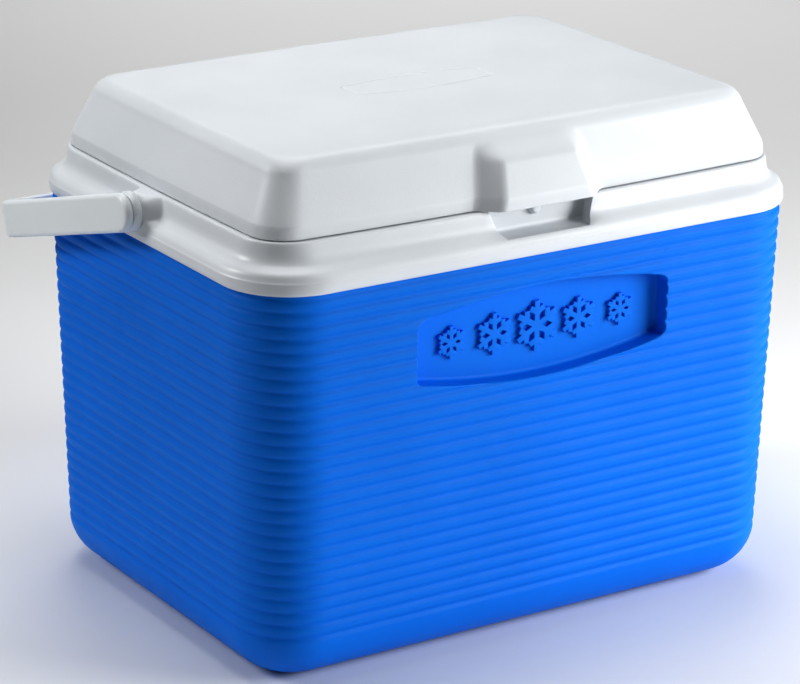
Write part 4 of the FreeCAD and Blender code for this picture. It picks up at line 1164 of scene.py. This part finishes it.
# The handle's white is lighter than the other whites: painted lighter to make up for the light the strap gets
# too little of.
def handle_white():
    return moulded_plastic(
        "handle_white", (0.84, 0.88, 0.90), (0.87, 0.91, 0.93), (0.92, 0.92, 0.92), 0.36, 1.2, 0.020)


def liner_white():
    return moulded_plastic(
        "liner_white", (0.80, 0.80, 0.79), (0.84, 0.84, 0.83), (0.85, 0.85, 0.84), 0.24, 1.8, 0.008)


def fitting_white():
    return moulded_plastic(
        "fitting_white", (0.78, 0.82, 0.85), (0.82, 0.86, 0.89), (0.90, 0.90, 0.90), 0.30, 1.0, 0.010)


def clip_steel():
    """Spring steel with fine rolling marks."""
    nodes = Nodes("clip_steel")
    stretch = nodes.add("ShaderNodeMapping", Scale=(1.0, 60.0, 4.0))
    nodes.join(nodes.place, stretch.inputs["Vector"])
    texture = nodes.add("ShaderNodeTexNoise", Scale=90.0, Detail=4.0)
    nodes.join(stretch.outputs["Vector"], texture.inputs["Vector"])
    marks = texture.outputs["Fac"]
    colour = nodes.ramp(marks, (0.3, (0.38, 0.38, 0.39)), (0.7, (0.56, 0.56, 0.57)))
    # Lighter along convex edges: partly wear, partly painted highlight.
    nodes.drive("Base Color", nodes.wear_and_highlight(colour, (0.75, 0.75, 0.76), 0.5))
    nodes.drive("Roughness", nodes.spread(marks, 0.3, 0.7, 0.24, 0.40))
    nodes.drive("Normal", nodes.bump(marks, 0.5, 0.00003))
    nodes.shader.inputs["Metallic"].default_value = 1.0
    return nodes.material


def foam():
    """Rigid insulating foam with small closed cells."""
    nodes = Nodes("foam")
    cells = nodes.add("ShaderNodeTexVoronoi", Scale=900.0, Randomness=1.0)
    nodes.join(nodes.place, cells.inputs["Vector"])
    broad = nodes.noise(30.0, 4.0)
    colour = nodes.ramp(broad, (0.3, (0.70, 0.60, 0.38)), (0.7, (0.82, 0.73, 0.52)))
    # Lighter along convex edges: partly wear, partly painted highlight.
    nodes.drive("Base Color", nodes.wear_and_highlight(colour, (0.86, 0.80, 0.64), 0.6))
    nodes.drive("Roughness", nodes.spread(broad, 0.3, 0.7, 0.80, 0.95))
    nodes.drive("Normal", nodes.bump(cells.outputs["Distance"], 0.6, 0.0004))
    return nodes.material


def floor_paper():
    nodes = Nodes("floor_paper")
    colour = nodes.ramp(nodes.noise(3.0, 2.0), (0.3, (0.86, 0.86, 0.86)), (0.7, (0.88, 0.88, 0.88)))
    nodes.drive("Base Color", colour)
    nodes.shader.inputs["Roughness"].default_value = 0.8
    return nodes.material


MATERIALS = {make.__name__: make() for make in (
    shell_blue, plug_blue, collar_white, lid_white, handle_white, liner_white, fitting_white,
    clip_steel, foam)}


# ---- camera, floor and light

def make_camera():
    """A long lens from the front left, a little above the rim."""
    data = bpy.data.cameras.new("camera")
    data.lens = 154.9
    data.sensor_width = 36.0
    data.clip_end = 30.0
    camera = linked("camera", data)
    forward = Vector((0.5132, 0.7932, -0.3279)).normalized()
    right = forward.cross(Vector((0, 0, 1))).normalized()
    up = right.cross(forward)
    roll = radians(0.71)
    level_right = cos(roll) * right + sin(roll) * up
    level_up = -sin(roll) * right + cos(roll) * up
    turn = Matrix((level_right, level_up, -forward)).transposed().to_4x4()
    camera.matrix_world = Matrix.Translation((-1.2124, -1.8567, 0.9286)) @ turn
    bpy.context.scene.camera = camera


def make_light(name, position, target, size, watts, spread=180.0):
    """A rectangular soft light aimed at target, whose beam opens by spread degrees."""
    data = bpy.data.lights.new(name, "AREA")
    data.shape = "RECTANGLE"
    data.size, data.size_y = size
    data.energy = watts
    data.spread = radians(spread)
    light = linked(name, data)
    light.location = position
    light.rotation_euler = (Vector(target) - Vector(position)).to_track_quat("-Z", "Y").to_euler()


def make_floor():
    skin = Skin()
    places = np.linspace(-6000, 6000, 9)
    skin.sheet([skin.row([(x, y, -0.5) for x in places]) for y in places], closed=False)
    floor = skin.piece("studio_floor", floor_paper())


def make_world():
    world = bpy.data.worlds.new("studio")
    world.use_nodes = True
    back = world.node_tree.nodes["Background"]
    back.inputs["Color"].default_value = (1.0, 1.0, 1.0, 1.0)
    back.inputs["Strength"].default_value = 0.09
    bpy.context.scene.world = world


def light_studio():
    """Soft lights: a key from the right front, one overhead, one from behind left, two on the floor."""
    make_world()
    make_light("key_right", (1.2, -1.18, 0.55), (0.15, 0.0, 0.12), (1.0, 0.6), 25.5)
    make_light("top", (-0.1, 0.15, 1.4), (0.0, 0.0, 0.3), (0.9, 0.7), 2.3, 90.0)
    make_light("left_high", (-1.6, 1.0, 1.3), (-0.1, 0.0, 0.2), (0.8, 0.8), 3.6, 70.0)
    make_light("floor_right", (1.3, -1.0, 0.8), (0.75, -0.55, 0.0), (0.6, 0.6), 3.0, 70.0)
    make_light("behind", (1.2, 1.9, 1.7), (1.0, 1.4, 0.0), (1.6, 1.6), 13.0, 110.0)


# ---- the whole object

make_outer_shell(MATERIALS["shell_blue"])
make_rim_collar(MATERIALS["collar_white"])
make_lid_shell(MATERIALS["lid_white"])
make_lid_pan(MATERIALS["liner_white"])
make_lid_foam(MATERIALS["foam"])
make_inner_liner(MATERIALS["liner_white"])
make_bail(MATERIALS["handle_white"])
make_catch_peg(MATERIALS["fitting_white"])
for hub_side in (-1, 1):
    make_hub(hub_side, MATERIALS["fitting_white"])
KEPT = (
    ("body_insulation", "foam"),
    ("hinge_pin_left", "fitting_white"), ("hinge_pin_right", "fitting_white"),
    ("pivot_clip_left", "clip_steel"), ("pivot_clip_right", "clip_steel"),
    ("body_fill_plug", "plug_blue"), ("lid_fill_plug", "liner_white"),
)
for node_name, material_name in KEPT:
    for slot in bpy.data.objects[node_name].material_slots:
        slot.material = MATERIALS[material_name]

make_floor()
make_camera()
light_studio()
bpy.context.scene.view_settings.view_transform = "Standard"
bpy.context.scene.view_settings.gamma = 0.8
